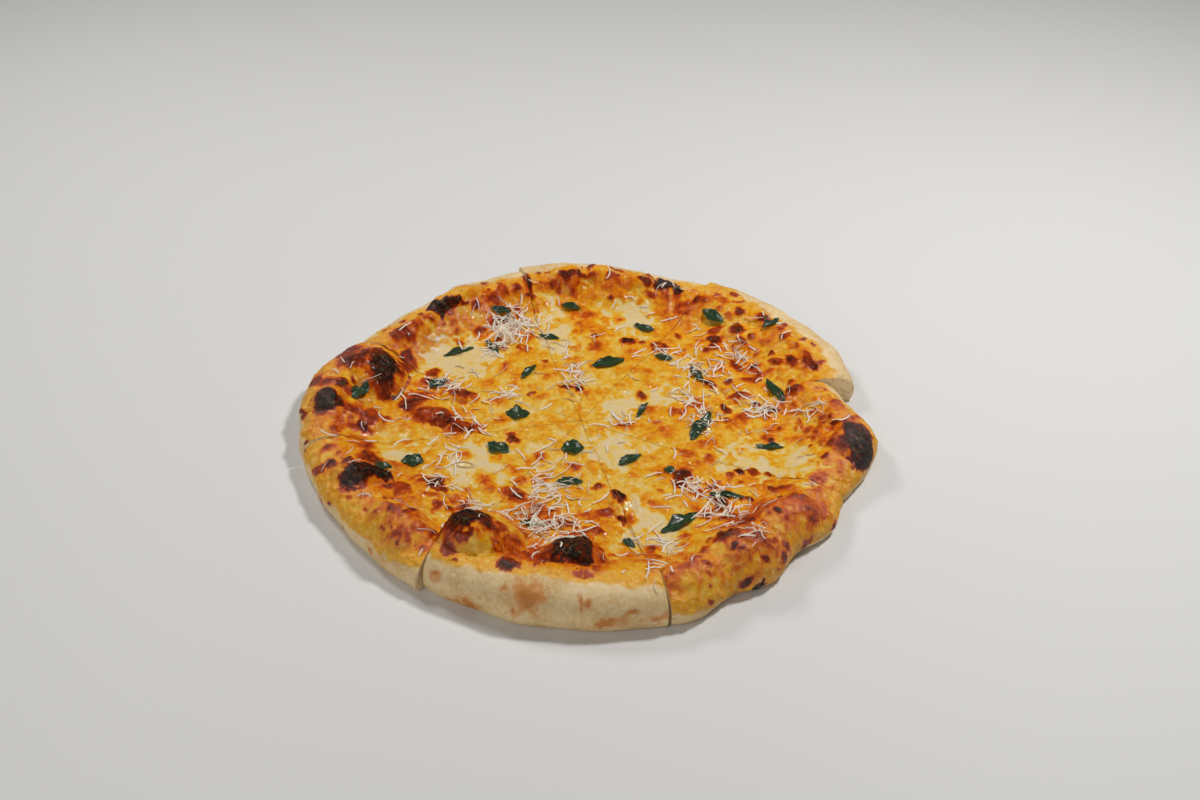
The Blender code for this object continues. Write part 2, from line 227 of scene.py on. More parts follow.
# Marks on the surface: way in degrees, distance in mm, length along the rim, width, turn, kind
marks = {
    1: [
        (-10, 111, 12, 9, 0, "warm"), (-3, 45, 8, 7, 0, "orange"), (-13, 51, 9, 8, 0, "orange"),
        (-28, 67, 5, 12, 0, "red"), (-27, 82, 8, 6, 0, "red"), (4, 126, 18, 14, 0, "warm"),
        (-10, 148, 20, 10, 0, "warm"), (8, 59, 9, 12, 0, "red"), (-18, 78, 10, 10, 0, "warm"),
        (-10, 28, 10, 14, 0, "warm"), (6, 144, 6, 9, 0, "bright"), (8, 131, 6, 6, 0, "brown"),
        (-13, 163, 24, 16, 0, "char"), (-15, 168, 18, 15, 0, "char"), (-15, 155, 9, 7, 0, "brown"),
        (-16, 165, 8, 9, 0, "dark"), (-18, 160, 2, 5, 0, "dark"), (-6, 161, 10, 8, 0, "red"),
        (-10, 156, 16, 6, 0, "dark"), (1, 161, 6, 2, 0, "brown"), (-8, 148, 3, 6, 0, "brown"),
        (-6, 146, 4, 4, 0, "red"), (-2, 151, 13, 10, 0, "bright"), (6, 146, 7, 10, 0, "bright"),
        (-5, 130, 10, 3, 0, "red"), (-8, 134, 6, 6, 0, "red"), (-9, 140, 11, 4, 0, "red"),
        (-5, 141, 4, 4, 0, "brown"), (-14, 145, 8, 7, 0, "orange"), (-17, 151, 8, 4, 0, "orange"),
        (9, 128, 6, 4, 0, "brown"), (8, 132, 5, 4, 0, "brown"), (8, 107, 5, 5, 0, "dark"),
        (7, 86, 8, 5, 0, "dark"), (4, 113, 6, 9, 0, "dark"), (2, 96, 8, 11, 0, "red"),
        (-2, 89, 6, 8, 0, "orange"), (0, 112, 6, 7, 0, "orange"), (-10, 110, 5, 6, 0, "red"),
        (-5, 114, 8, 13, 0, "orange"), (-21, 139, 3, 3, 0, "orange"), (-25, 147, 9, 7, 0, "red"),
        (-26, 145, 5, 5, 0, "bright"),
    ],
    2: [
        (50, 65, 6, 6, 0, "orange"), (13, 42, 8, 8, 0, "orange"), (57, 91, 12, 10, 0, "ring"),
        (16, 154, 14, 7, 0, "warm"), (40, 119, 46, 36, 0, "yellow"), (22, 119, 34, 50, 0, "yellow"),
        (48, 94, 14, 10, 0, "warm"), (13, 71, 9, 10, 0, "red"), (52, 147, 11, 8, 0, "bright"),
        (55, 141, 7, 7, 0, "red"), (50, 141, 5, 4, 0, "red"), (50, 157, 6, 7, 0, "brown"),
        (47, 152, 4, 7, 0, "brown"), (44, 144, 7, 5, 0, "brown"), (46, 139, 7, 4, 0, "red"),
        (38, 149, 10, 8, 0, "brown"), (32, 148, 7, 7, 0, "red"), (33, 154, 5, 6, 0, "brown"),
        (29, 147, 4, 5, 0, "brown"), (25, 148, 8, 6, 0, "bright"), (26, 155, 4, 6, 0, "brown"),
        (23, 158, 4, 3, 0, "brown"), (41, 132, 10, 9, 0, "dark"), (36, 128, 7, 4, 0, "brown"),
        (35, 133, 4, 3, 0, "brown"), (44, 118, 11, 10, 0, "dark"), (41, 111, 6, 6, 0, "brown"),
        (41, 104, 6, 6, 0, "brown"), (47, 125, 6, 5, 0, "red"), (32, 137, 5, 6, 0, "orange"),
        (33, 127, 4, 4, 0, "red"), (30, 129, 4, 4, 0, "red"), (27, 136, 4, 3, 0, "brown"),
        (32, 120, 6, 5, 0, "brown"), (31, 112, 6, 6, 0, "brown"), (28, 110, 6, 5, 0, "dark"),
        (26, 120, 5, 5, 0, "brown"), (23, 119, 7, 4, 0, "brown"), (22, 125, 5, 6, 0, "red"),
        (20, 115, 6, 7, 0, "brown"), (21, 97, 7, 5, 0, "brown"), (25, 87, 6, 6, 0, "dark"),
        (22, 88, 5, 5, 0, "brown"), (22, 140, 8, 5, 0, "dark"), (20, 141, 9, 5, 0, "brown"),
        (20, 148, 10, 6, 0, "red"), (17, 148, 12, 8, 0, "brown"), (15, 147, 8, 6, 0, "dark"),
        (13, 155, 8, 8, 0, "orange"), (14, 133, 4, 4, 0, "brown"), (13, 102, 3, 10, 0, "red"),
        (24, 131, 5, 4, 0, "orange"), (26, 113, 10, 7, 0, "orange"), (30, 102, 10, 7, 0, "orange"),
        (21, 113, 6, 12, 0, "brown"), (13, 99, 4, 12, 0, "brown"), (58, 133, 10, 11, 0, "bright"),
        (57, 140, 5, 5, 0, "dark"),
    ],
    3: [
        (98, 147, 24, 10, 0, "bare"), (61, 142, 9, 9, 0, "bare"), (70, 88, 10, 9, 0, "dark"),
        (83, 76, 8, 7, 0, "red"), (84, 90, 4, 4, 0, "brown"), (91, 94, 8, 6, 0, "orange"),
        (92, 33, 6, 8, 0, "dark"), (104, 36, 8, 5, 0, "dark"), (80, 148, 40, 10, 0, "warm"),
        (96, 140, 20, 10, 0, "warm"), (80, 59, 10, 8, 0, "warm"), (65, 78, 8, 8, 0, "orange"),
        (97, 109, 8, 6, 0, "warm"), (101, 145, 4, 5, 0, "brown"), (95, 138, 7, 5, 0, "dark"),
        (93, 139, 7, 3, 0, "dark"), (94, 135, 11, 5, 0, "red"), (98, 135, 8, 6, 0, "red"),
        (101, 136, 11, 7, 0, "red"), (103, 141, 14, 5, 0, "orange"), (97, 130, 5, 4, 0, "bright"),
        (90, 151, 5, 10, 0, "brown"), (87, 147, 6, 12, 0, "brown"), (91, 138, 4, 3, 0, "bright"),
        (87, 138, 10, 4, 0, "red"), (89, 138, 4, 2, 0, "brown"), (81, 139, 9, 5, 0, "brown"),
        (78, 136, 10, 4, 0, "red"), (82, 134, 11, 5, 0, "orange"), (72, 147, 6, 16, 0, "bright"),
        (72, 138, 10, 4, 0, "dark"), (69, 147, 5, 8, 0, "brown"), (67, 144, 14, 13, 0, "char"),
        (63, 142, 9, 8, 0, "char"), (81, 127, 5, 3, 0, "brown"), (65, 133, 9, 5, 0, "red"),
        (62, 138, 8, 7, 0, "bright"), (60, 130, 9, 10, 0, "bright"), (65, 126, 10, 8, 0, "orange"),
        (88, 113, 12, 8, 0, "red"), (89, 103, 14, 8, 0, "orange"), (77, 110, 8, 6, 0, "orange"),
        (84, 140, 6, 5, 0, "yellow"),
    ],
    4: [
        (114, 133, 34, 22, 0, "warm"), (115, 83, 7, 6, 0, "red"), (149, 136, 14, 9, 0, "warm"),
        (110, 95, 9, 8, 0, "orange"), (130, 73, 12, 8, 0, "warm"), (112, 59, 9, 9, 0, "warm"),
        (146, 69, 10, 8, 0, "orange"), (151, 125, 11, 6, 0, "dark"), (152, 119, 7, 4, 0, "red"),
        (152, 105, 8, 9, 0, "brown"), (105, 130, 6, 4, 0, "brown"), (105, 140, 5, 16, 0, "brown"),
        (116, 144, 7, 8, 0, "brown"), (109, 146, 2, 4, 0, "brown"), (110, 137, 10, 4, 0, "red"),
        (112, 135, 9, 4, 0, "bright"), (118, 131, 9, 6, 0, "bright"), (109, 133, 13, 5, 0, "orange"),
        (119, 125, 9, 5, 0, "orange"), (118, 118, 10, 5, 0, "brown"), (115, 116, 5, 5, 0, "dark"),
        (128, 134, 13, 3, 0, "char"), (133, 137, 9, 12, 0, "char"), (131, 135, 9, 4, 0, "char"),
        (125, 132, 7, 2, 0, "dark"), (112, 135, 10, 4, 0, "red"), (115, 134, 6, 3, 0, "red"),
        (118, 132, 7, 5, 0, "bright"), (121, 130, 9, 5, 0, "bright"), (130, 132, 7, 5, 0, "bright"),
        (137, 132, 9, 4, 0, "bright"), (137, 130, 4, 2, 0, "brown"), (141, 132, 7, 5, 0, "red"),
        (146, 135, 6, 13, 0, "brown"), (148, 137, 7, 7, 0, "brown"), (143, 132, 9, 5, 0, "red"),
        (135, 128, 8, 3, 0, "orange"), (131, 126, 6, 4, 0, "orange"), (143, 144, 4, 7, 0, "brown"),
        (148, 148, 5, 5, 0, "red"), (133, 112, 7, 5, 0, "orange"), (133, 111, 3, 3, 0, "red"),
        (134, 126, 3, 2, 0, "brown"), (119, 117, 6, 4, 0, "brown"), (115, 117, 5, 3, 0, "dark"),
        (124, 114, 8, 5, 0, "brown"), (121, 103, 5, 6, 0, "brown"), (123, 97, 7, 9, 0, "brown"),
        (123, 91, 4, 5, 0, "red"), (148, 130, 6, 4, 0, "orange"),
    ],
    5: [
        (165, 132, 32, 30, 0, "yellow"), (183, 146, 14, 12, 0, "warm"), (164, 94, 10, 10, 0, "warm"),
        (172, 71, 8, 12, 0, "warm"), (179, 48, 8, 8, 0, "orange"), (157, 54, 8, 9, 0, "orange"),
        (162, 126, 20, 13, 0, "char"), (163, 126, 25, 17, 0, "dark"), (162, 144, 18, 16, 0, "dark"),
        (154, 121, 15, 6, 0, "brown"), (159, 134, 14, 7, 0, "brown"), (165, 137, 10, 6, 0, "orange"),
        (158, 157, 17, 20, 0, "brown"), (163, 151, 12, 7, 0, "red"), (167, 125, 9, 10, 0, "red"),
        (169, 128, 4, 7, 0, "red"), (178, 151, 15, 14, 0, "char"), (179, 145, 10, 6, 0, "dark"),
        (171, 153, 7, 13, 0, "brown"), (172, 146, 9, 5, 0, "dark"), (173, 141, 8, 4, 0, "brown"),
        (178, 140, 11, 6, 0, "orange"), (181, 153, 8, 8, 0, "brown"), (179, 136, 10, 10, 0, "brown"),
        (186, 142, 16, 8, 0, "bright"), (183, 135, 6, 3, 0, "red"), (180, 125, 20, 11, 0, "brown"),
        (185, 128, 10, 8, 0, "dark"), (178, 117, 6, 6, 0, "red"), (169, 121, 7, 8, 0, "brown"),
        (169, 102, 22, 14, 0, "brown"), (171, 106, 11, 12, 0, "dark"), (177, 88, 12, 22, 0, "brown"),
        (181, 80, 8, 15, 0, "dark"), (186, 69, 9, 19, 0, "brown"), (160, 77, 12, 20, 0, "brown"),
        (157, 104, 7, 6, 0, "brown"), (155, 94, 7, 5, 0, "brown"), (180, 166, 10, 8, 0, "brown"),
        (190, 164, 10, 7, 0, "brown"), (170, 163, 12, 11, 0, "brown"), (165, 115, 6, 6, 0, "orange"),
    ],
    6: [
        (225, 167, 7, 5, 0, "toast"), (215, 172, 6, 5, 0, "toast"), (205, 170, 8, 4, 0, "toast"),
        (225, 77, 12, 9, 0, "orange"), (202, 43, 10, 7, 0, "dark"), (235, 41, 9, 8, 0, "red"),
        (228, 143, 34, 26, 0, "warm"), (207, 140, 26, 24, 0, "warm"), (192, 128, 12, 18, 0, "warm"),
        (215, 59, 9, 8, 0, "warm"), (230, 60, 10, 8, 0, "orange"), (205, 74, 9, 7, 0, "orange"),
        (230, 101, 7, 7, 0, "brown"), (225, 100, 10, 9, 0, "orange"), (191, 104, 5, 8, 0, "orange"),
        (190, 132, 8, 10, 0, "orange"), (194, 150, 6, 10, 0, "red"), (193, 127, 6, 8, 0, "red"),
        (200, 150, 8, 6, 0, "dark"), (199, 161, 8, 7, 0, "brown"), (200, 156, 7, 5, 0, "brown"),
        (203, 143, 11, 5, 0, "brown"), (208, 142, 12, 16, 0, "char"), (208, 135, 11, 17, 0, "char"),
        (209, 126, 8, 10, 0, "char"), (200, 127, 21, 12, 0, "brown"), (208, 141, 3, 3, 0, "brown"),
        (209, 134, 3, 5, 0, "brown"), (211, 140, 6, 4, 0, "brown"), (214, 144, 6, 5, 0, "red"),
        (209, 153, 6, 4, 0, "red"), (212, 152, 4, 2, 0, "brown"), (204, 159, 6, 4, 0, "orange"),
        (213, 128, 7, 7, 0, "brown"), (214, 122, 12, 9, 0, "brown"), (216, 126, 6, 4, 0, "red"),
        (211, 108, 4, 9, 0, "red"), (214, 105, 5, 11, 0, "red"), (216, 101, 9, 10, 0, "dark"),
        (219, 100, 6, 7, 0, "dark"), (219, 114, 4, 5, 0, "orange"), (225, 113, 6, 8, 0, "brown"),
        (222, 142, 6, 4, 0, "red"), (225, 142, 7, 6, 0, "brown"), (228, 137, 4, 10, 0, "brown"),
        (222, 149, 6, 2, 0, "red"), (230, 137, 4, 8, 0, "bright"), (233, 138, 5, 9, 0, "bright"),
        (235, 138, 5, 7, 0, "brown"), (230, 147, 3, 4, 0, "red"), (232, 148, 4, 5, 0, "bright"),
        (234, 148, 2, 3, 0, "bright"), (231, 153, 2, 2, 0, "brown"), (226, 153, 2, 2, 0, "brown"),
        (228, 150, 2, 2, 0, "brown"), (229, 153, 3, 3, 0, "orange"), (236, 147, 7, 7, 0, "red"),
        (237, 152, 3, 3, 0, "orange"), (208, 163, 5, 5, 0, "orange"), (209, 165, 5, 6, 0, "brown"),
        (222, 163, 4, 3, 0, "brown"), (219, 165, 4, 3, 0, "orange"), (197, 143, 5, 5, 0, "red"),
        (202, 141, 16, 2, 0, "red"), (230, 144, 5, 5, 0, "orange"), (222, 153, 5, 2, 0, "orange"),
    ],
    7: [
        (260, 165, 14, 15, 0, "toast"), (271, 166, 6, 6, 0, "toast"), (279, 172, 6, 4, 0, "toast"),
        (249, 173, 14, 4, 0, "toast"), (274, 177, 16, 4, 0, "toast"), (241, 162, 8, 5, 0, "toast"),
        (283, 178, 14, 4, 0, "toast"), (258, 130, 16, 26, 0, "warm"), (270, 136, 40, 20, 0, "warm"),
        (256, 86, 34, 28, 0, "warm"), (270, 104, 24, 12, 0, "warm"), (244, 106, 30, 12, 0, "warm"),
        (238, 65, 6, 10, 0, "red"), (230, 80, 9, 8, 0, "orange"), (264, 44, 8, 8, 0, "red"),
        (247, 59, 9, 8, 0, "orange"), (282, 126, 9, 16, 0, "orange"), (242, 126, 24, 18, 0, "dark"),
        (243, 127, 15, 21, 0, "char"), (238, 127, 13, 14, 0, "dark"), (246, 125, 6, 12, 0, "brown"),
        (248, 130, 6, 9, 0, "dark"), (250, 123, 4, 11, 0, "brown"), (239, 136, 10, 10, 0, "brown"),
        (244, 141, 6, 3, 0, "brown"), (242, 146, 7, 8, 0, "brown"), (244, 151, 5, 4, 0, "red"),
        (250, 132, 4, 7, 0, "red"), (252, 129, 4, 10, 0, "red"), (239, 132, 13, 11, 0, "red"),
        (254, 134, 7, 15, 0, "red"), (255, 146, 12, 10, 0, "dark"), (253, 124, 6, 21, 0, "bright"),
        (257, 125, 10, 30, 0, "bright"), (260, 140, 5, 18, 0, "red"), (265, 127, 8, 20, 0, "char"),
        (268, 125, 13, 27, 0, "char"), (271, 123, 6, 34, 0, "char"), (268, 135, 8, 7, 0, "dark"),
        (262, 133, 9, 19, 0, "brown"), (264, 138, 4, 7, 0, "brown"), (268, 145, 18, 10, 0, "orange"),
        (270, 150, 15, 8, 0, "bright"), (273, 145, 6, 10, 0, "red"), (274, 125, 7, 24, 0, "red"),
        (275, 132, 10, 9, 0, "bright"), (275, 99, 7, 5, 0, "brown"), (257, 91, 13, 12, 0, "red"),
        (241, 77, 15, 9, 0, "brown"), (252, 82, 10, 7, 0, "red"), (265, 93, 11, 5, 0, "brown"),
        (275, 86, 18, 7, 0, "red"), (283, 92, 3, 7, 0, "dark"), (279, 86, 8, 7, 0, "brown"),
        (284, 167, 3, 2, 0, "dark"), (284, 144, 4, 10, 0, "orange"), (241, 144, 6, 8, 0, "brown"),
    ],
    8: [
        (303, 176, 18, 5, 0, "toast"), (293, 176, 8, 4, 0, "toast"), (286, 93, 7, 8, 0, "red"),
        (317, 77, 14, 10, 0, "dark"), (326, 174, 8, 7, 0, "brown"), (323, 98, 12, 12, 0, "warm"),
        (312, 128, 30, 20, 0, "warm"), (304, 155, 46, 22, 0, "warm"), (320, 151, 26, 26, 0, "warm"),
        (290, 150, 24, 14, 0, "warm"), (313, 68, 9, 7, 0, "orange"), (327, 78, 8, 8, 0, "orange"),
        (300, 58, 9, 7, 0, "warm"), (286, 75, 5, 15, 0, "dark"), (316, 152, 4, 3, 0, "brown"),
        (316, 152, 9, 8, 0, "orange"), (321, 161, 6, 4, 0, "brown"), (320, 164, 7, 4, 0, "red"),
        (320, 137, 25, 24, 0, "orange"), (328, 129, 4, 9, 0, "brown"), (322, 145, 11, 8, 0, "red"),
        (324, 150, 10, 5, 0, "brown"), (324, 158, 20, 11, 0, "red"), (316, 145, 4, 5, 0, "dark"),
        (318, 134, 13, 14, 0, "red"), (318, 172, 7, 9, 0, "brown"), (312, 162, 6, 6, 0, "brown"),
        (310, 168, 6, 7, 0, "brown"), (309, 158, 9, 3, 0, "brown"), (306, 165, 4, 3, 0, "dark"),
        (301, 152, 4, 4, 0, "dark"), (302, 156, 4, 3, 0, "brown"), (307, 153, 7, 4, 0, "red"),
        (303, 144, 5, 8, 0, "brown"), (300, 144, 4, 7, 0, "bright"), (297, 144, 5, 6, 0, "red"),
        (293, 150, 8, 3, 0, "red"), (291, 155, 7, 5, 0, "red"), (287, 157, 5, 5, 0, "red"),
        (286, 157, 5, 4, 0, "orange"), (286, 163, 9, 6, 0, "red"), (294, 156, 4, 2, 0, "brown"),
        (294, 160, 5, 2, 0, "red"), (293, 165, 2, 2, 0, "brown"), (293, 174, 5, 3, 0, "brown"),
        (301, 172, 7, 6, 0, "dark"), (303, 171, 5, 4, 0, "red"), (304, 181, 10, 9, 0, "char"),
        (288, 120, 5, 7, 0, "brown"), (287, 124, 10, 17, 0, "orange"), (298, 87, 7, 6, 0, "orange"),
        (314, 110, 7, 6, 0, "dark"), (320, 120, 5, 6, 0, "dark"), (319, 97, 5, 5, 0, "brown"),
        (314, 93, 6, 7, 0, "red"), (314, 82, 8, 8, 0, "dark"), (312, 120, 5, 6, 0, "brown"),
        (310, 110, 5, 6, 0, "red"), (307, 103, 8, 7, 0, "orange"), (311, 135, 13, 12, 0, "brown"),
        (313, 136, 4, 5, 0, "red"), (303, 115, 6, 6, 0, "orange"), (298, 118, 7, 8, 0, "orange"),
        (312, 145, 3, 5, 0, "orange"), (296, 166, 5, 10, 0, "orange"), (308, 171, 6, 5, 0, "red"),
        (300, 150, 3, 5, 0, "orange"), (319, 168, 2, 2, 0, "brown"), (330, 151, 12, 6, 0, "orange"),
        (331, 102, 5, 6, 0, "dark"), (328, 98, 5, 5, 0, "brown"), (333, 110, 4, 8, 0, "brown"),
        (333, 119, 3, 5, 0, "brown"), (329, 133, 7, 7, 0, "red"), (327, 130, 4, 6, 0, "red"),
        (330, 111, 6, 6, 0, "orange"),
    ],
}

# What each kind of mark does: how far it bakes the surface (0 cream, 1 charred) and lifts it,
# how soft its edge is, and for a blister how much lighter its top is
kinds = {
    "char": {"bake": 0.95, "lift": 0.0012, "soft": 0.50, "hollow": 0.0, "grow": 0.06},
    "dark": {"bake": 0.83, "lift": 0.0010, "soft": 0.75, "hollow": 0.0, "grow": 0.06},
    "brown": {"bake": 0.73, "lift": 0.0010, "soft": 0.85, "hollow": 0.0, "grow": 0.08},
    "red": {"bake": 0.61, "lift": 0.0008, "soft": 1.10, "hollow": 0.0, "grow": 0.08},
    "bright": {"bake": 0.62, "lift": -0.0002, "soft": 0.80, "hollow": 0.0, "grow": 0.00},
    "orange": {"bake": 0.50, "lift": 0.0006, "soft": 1.20, "hollow": 0.0, "grow": 0.04},
    "ring": {"bake": 0.74, "lift": 0.0012, "soft": 0.60, "hollow": 0.22, "grow": 0.06},
    "warm": {"bake": 0.43, "lift": 0.0000, "soft": 1.30, "hollow": 0.0, "grow": 0.00},
    "yellow": {"bake": 0.30, "lift": 0.0000, "soft": 1.00, "hollow": 0.0, "grow": 0.00},
}

pools = [
    (4, 139, 100, 52, 42, -20), (3, 100, 96, 24, 52, 0), (3, 74, 113, 36, 26, 0),
    (2, 28, 27, 18, 26, 0), (2, 26, 55, 18, 22, 0), (6, 195, 108, 16, 40, 0),
    (6, 216, 72, 46, 30, 0), (8, 301, 37, 28, 30, 0), (1, 339, 116, 36, 54, 0),
    (8, 290, 106, 28, 52, 0),
]

# Where the cheese ends and the crust stays bare, as a path length at even steps over the slice
cheeseEnds = {
    1: (0.172, 0.172, 0.166, 0.160, 0.156),
    2: (0.153, 0.151, 0.150, 0.152, 0.160),
    3: (0.158, 0.150, 0.150, 0.147, 0.145),
    4: (0.148, 0.151, 0.152, 0.154, 0.158),
    5: (0.162, 0.166, 0.168, 0.166, 0.164),
    6: (0.166, 0.169, 0.169, 0.167, 0.163),
    7: (0.158, 0.155, 0.150, 0.153, 0.157),
    8: (0.168, 0.176, 0.178, 0.176, 0.170),
}

look = {
    "columns": 190,
    "cheeseStep": 0.00082,
    "doughStep": 0.0008,
    "cheeseLast": 0.1495,
    "lump": 0.00060,
    "grain": 0.00050,
    "warp": 0.0016,
    "dots": 30,
    "seed": 7,
}


def polar(way, spread):
    return np.cos(way) * spread, np.sin(way) * spread


def cover(x, y, mark, soft, ragged):  # 1 inside a mark and 0 outside, with an uneven edge
    way, distance, length, width, turn = mark
    share = ovalShare(x, y, way, distance / 1000, length / 1000, width / 1000, turn)
    near = share < 6
    amount = np.zeros_like(x)
    share = np.sqrt(share[near]) * (1 + ragged[near])
    amount[near] = 1 - smoothStep(1 - soft * 0.5, 1 + soft * 0.5, share)
    return amount, share, near


def dotsOf(number):  # small blisters strewn over a slice, fewer in the middle and on the pools
    random = np.random.default_rng(look["seed"] + number)
    first, last = slices[number]["cuts"]
    found = []
    while len(found) < look["dots"]:
        way = random.uniform(first + 1, last - 1)
        distance = 150 * math.sqrt(random.uniform(0.02, 1))
        chance = 0.08 + 0.92 * smoothStep(65, 125, distance)
        x, y = polar(math.radians(way), distance / 1000)
        for _, *mark in pools:
            oval = [mark[0]] + [value / 1000 for value in mark[1:4]] + [mark[4]]
            if ovalShare(x, y, *oval) < 1.2:
                chance = 0.04
        if random.uniform() < chance:
            kind = random.choice(["orange", "red", "brown", "dark", "ring"], p=[0.46, 0.32, 0.16, 0.03, 0.03])
            size = random.uniform(2.0, 5.2)
            found.append((way, distance, size * random.uniform(1, 1.7), size, random.uniform(-60, 60), kind))
    return found


everyMark = [mark for number in slices for mark in marks[number] + dotsOf(number)]


def nearMarks(number):  # a slice's own marks and those that reach over its cuts
    first, last = slices[number]["cuts"]
    found = []
    for mark in everyMark:
        margin = math.degrees((mark[2] + mark[3]) / 2 / max(mark[1], 8)) + 3
        away = (mark[0] - (first + last) / 2 + 180) % 360 - 180
        if abs(away) < (last - first) / 2 + margin:
            found.append(mark)
    return found


def fields(number, way, spread, path, share):
    x, y = polar(way, spread)
    coarse = noise(x, y, 0.013, 11)
    medium = noise(x, y, 0.0058, 12)
    small = noise(x, y, 0.0026, 13)
    tiny = noise(x, y, 0.0013, 14)
    ragged = 0.16 * medium + 0.24 * small + 0.16 * tiny
    warpedX = x + look["warp"] * noise(x, y, 0.0075, 21) + 0.0009 * noise(x, y, 0.0030, 23)
    warpedY = y + look["warp"] * noise(x, y, 0.0075, 22) + 0.0009 * noise(x, y, 0.0030, 24)
    veins = (1 - np.abs(noise(warpedX, warpedY, 0.0062, 25))) ** 4
    bake = 0.25 + 0.08 * coarse + 0.12 * medium + 0.07 * small
    bake = bake + 0.05 * smoothStep(0.095, 0.140, spread) + 0.11 * veins * smoothStep(0.03, 0.13, spread)
    lift = look["lump"] * (0.7 * coarse + 0.9 * medium) + look["grain"] * (small + 0.6 * tiny)
    pool = np.zeros_like(x)
    for _, *mark in pools:
        amount, _, near = cover(warpedX, warpedY, mark, 0.5, ragged * 1.2)
        pool = np.maximum(pool, amount)
    streaks = smoothStep(0.25, 0.75, noise(x, y, 0.0085, 26) + 0.4 * small)
    bake = bake * (1 - pool) + (0.04 + 0.05 * medium + 0.03 * small + 0.22 * streaks) * pool
    lift = lift * (1 - 0.75 * pool)
    marked = nearMarks(number)
    bareMarks = [mark for mark in marked if mark[-1] in ("bare", "toast")]
    marked = [mark for mark in marked if mark[-1] not in ("bare", "toast")]
    onTop = 1 - smoothStep(0.148, 0.158, path)  # blisters stay flat down the rim's wall
    order = ["warm", "yellow", "orange", "red", "bright", "brown", "ring", "dark", "char"]
    for *mark, kind in sorted(marked, key=lambda mark: order.index(mark[-1])):
        effect = kinds[kind]
        amount, inside, near = cover(warpedX, warpedY, mark, effect["soft"], ragged - effect["grow"])
        target = effect["bake"] + 0.07 * medium[near] + 0.10 * small[near] + 0.06 * tiny[near]
        if kind == "warm":
            target = target + 0.30 * veins[near] + 0.10 * medium[near]
        if effect["hollow"]:
            target = target - effect["hollow"] * (1 - smoothStep(0.35, 0.75, inside))
        strength = amount[near] * (0.85 if kind == "warm" else 1)
        bake[near] = bake[near] + (target - bake[near]) * strength
        raised = effect["lift"] * min(1, 6 / mark[3])  # wide marks bulge less
        lift[near] = lift[near] + raised * amount[near] * (1 + 0.6 * small[near]) * onTop[near]
    toast, naked = np.zeros_like(x), np.zeros_like(x)
    for *mark, kind in bareMarks:
        amount, inside, near = cover(warpedX, warpedY, mark, 1.3, ragged * 1.8)
        if kind == "bare":
            naked = np.maximum(naked, amount)
        else:
            toast = np.maximum(toast, amount)
    end = fromCutToCut(cheeseEnds[number], share) + 0.0022 * medium + 0.0010 * small
    bare = np.maximum(naked, smoothStep(-0.0010, 0.0016, path - end))
    fade = smoothStep(-0.016, 0.0, path - end)
    bake = bake + (0.27 - bake) * fade * (bake < 0.6)
    cutAway = np.minimum(share, 1 - share) * (math.radians(slices[number]["cuts"][1] - slices[number]["cuts"][0])) * spread
    seam = np.exp(-((cutAway / 0.0011) ** 2)) * smoothStep(0.07, 0.13, spread)
    lift = lift - 0.00010 * seam * (spread > 0.004)
    bake = bake + 0.015 * seam * (1 - pool) * (bake < 0.7)
    lift = (lift * (1 - 0.75 * bare) + 0.00012 * tiny * bare) * (1 - smoothStep(pathEnd - 0.005, pathEnd - 0.001, path))
    return np.clip(bake, 0, 1), lift, bare, pool, toast


def flatWedge(name, above, below, columns):  # a slice's rows as flat arcs, closed all round
    bpy.ops.object.select_all(action="DESELECT")
    outline = [(path, 0.010) for path in above] + [(path, 0.0) for path in below]
    bpy.ops.mesh.primitive_circle_add(vertices=len(outline), fill_type="NOTHING")
    made = bpy.context.object
    made.name = made.data.name = name
    for vertex, (path, height) in zip(made.data.vertices, outline):
        vertex.co = (path, 0.0, height)
    bpy.ops.object.mode_set(mode="EDIT")
    bpy.ops.mesh.select_all(action="SELECT")
    bpy.ops.mesh.spin(steps=columns, angle=1.0, center=(0, 0, 0), axis=(0, 0, 1))
    bpy.ops.mesh.select_all(action="SELECT")
    bpy.ops.mesh.remove_doubles(threshold=1e-7)
    for side in (0, 1):
        bpy.ops.mesh.select_all(action="DESELECT")
        bpy.ops.object.mode_set(mode="OBJECT")
        turns = [math.atan2(vertex.co.y, vertex.co.x) for vertex in made.data.vertices]
        for vertex, turn in zip(made.data.vertices, turns):
            vertex.select = vertex.co.xy.length < 1e-6 or abs(abs(turn) - side) < 1e-5
        bpy.ops.object.mode_set(mode="EDIT")
        bpy.ops.mesh.select_mode(type="VERT")
        bpy.ops.mesh.edge_face_add()
    bpy.ops.mesh.select_all(action="SELECT")
    bpy.ops.mesh.normals_make_consistent(inside=False)
    bpy.ops.object.mode_set(mode="OBJECT")
    return made


def flatPoints(mesh):  # path, share and whether above, for each point of a flat wedge
    points = np.zeros(len(mesh.vertices) * 3)
    mesh.vertices.foreach_get("co", points)
    points = points.reshape(-1, 3)
    path = np.hypot(points[:, 0], points[:, 1])
    share = np.abs(np.arctan2(points[:, 1], points[:, 0]))
    share[path < 1e-6] = 0.5
    return path, np.clip(share, 0, 1), points[:, 2] > 0.005


def addField(mesh, name, values):
    layer = mesh.attributes.new(name, "FLOAT", "POINT")
    layer.data.foreach_set("value", np.ascontiguousarray(values, dtype=np.float32))


def rows(start, end, step):
    return list(np.linspace(start, end, max(2, round(abs(end - start) / step)) + 1))


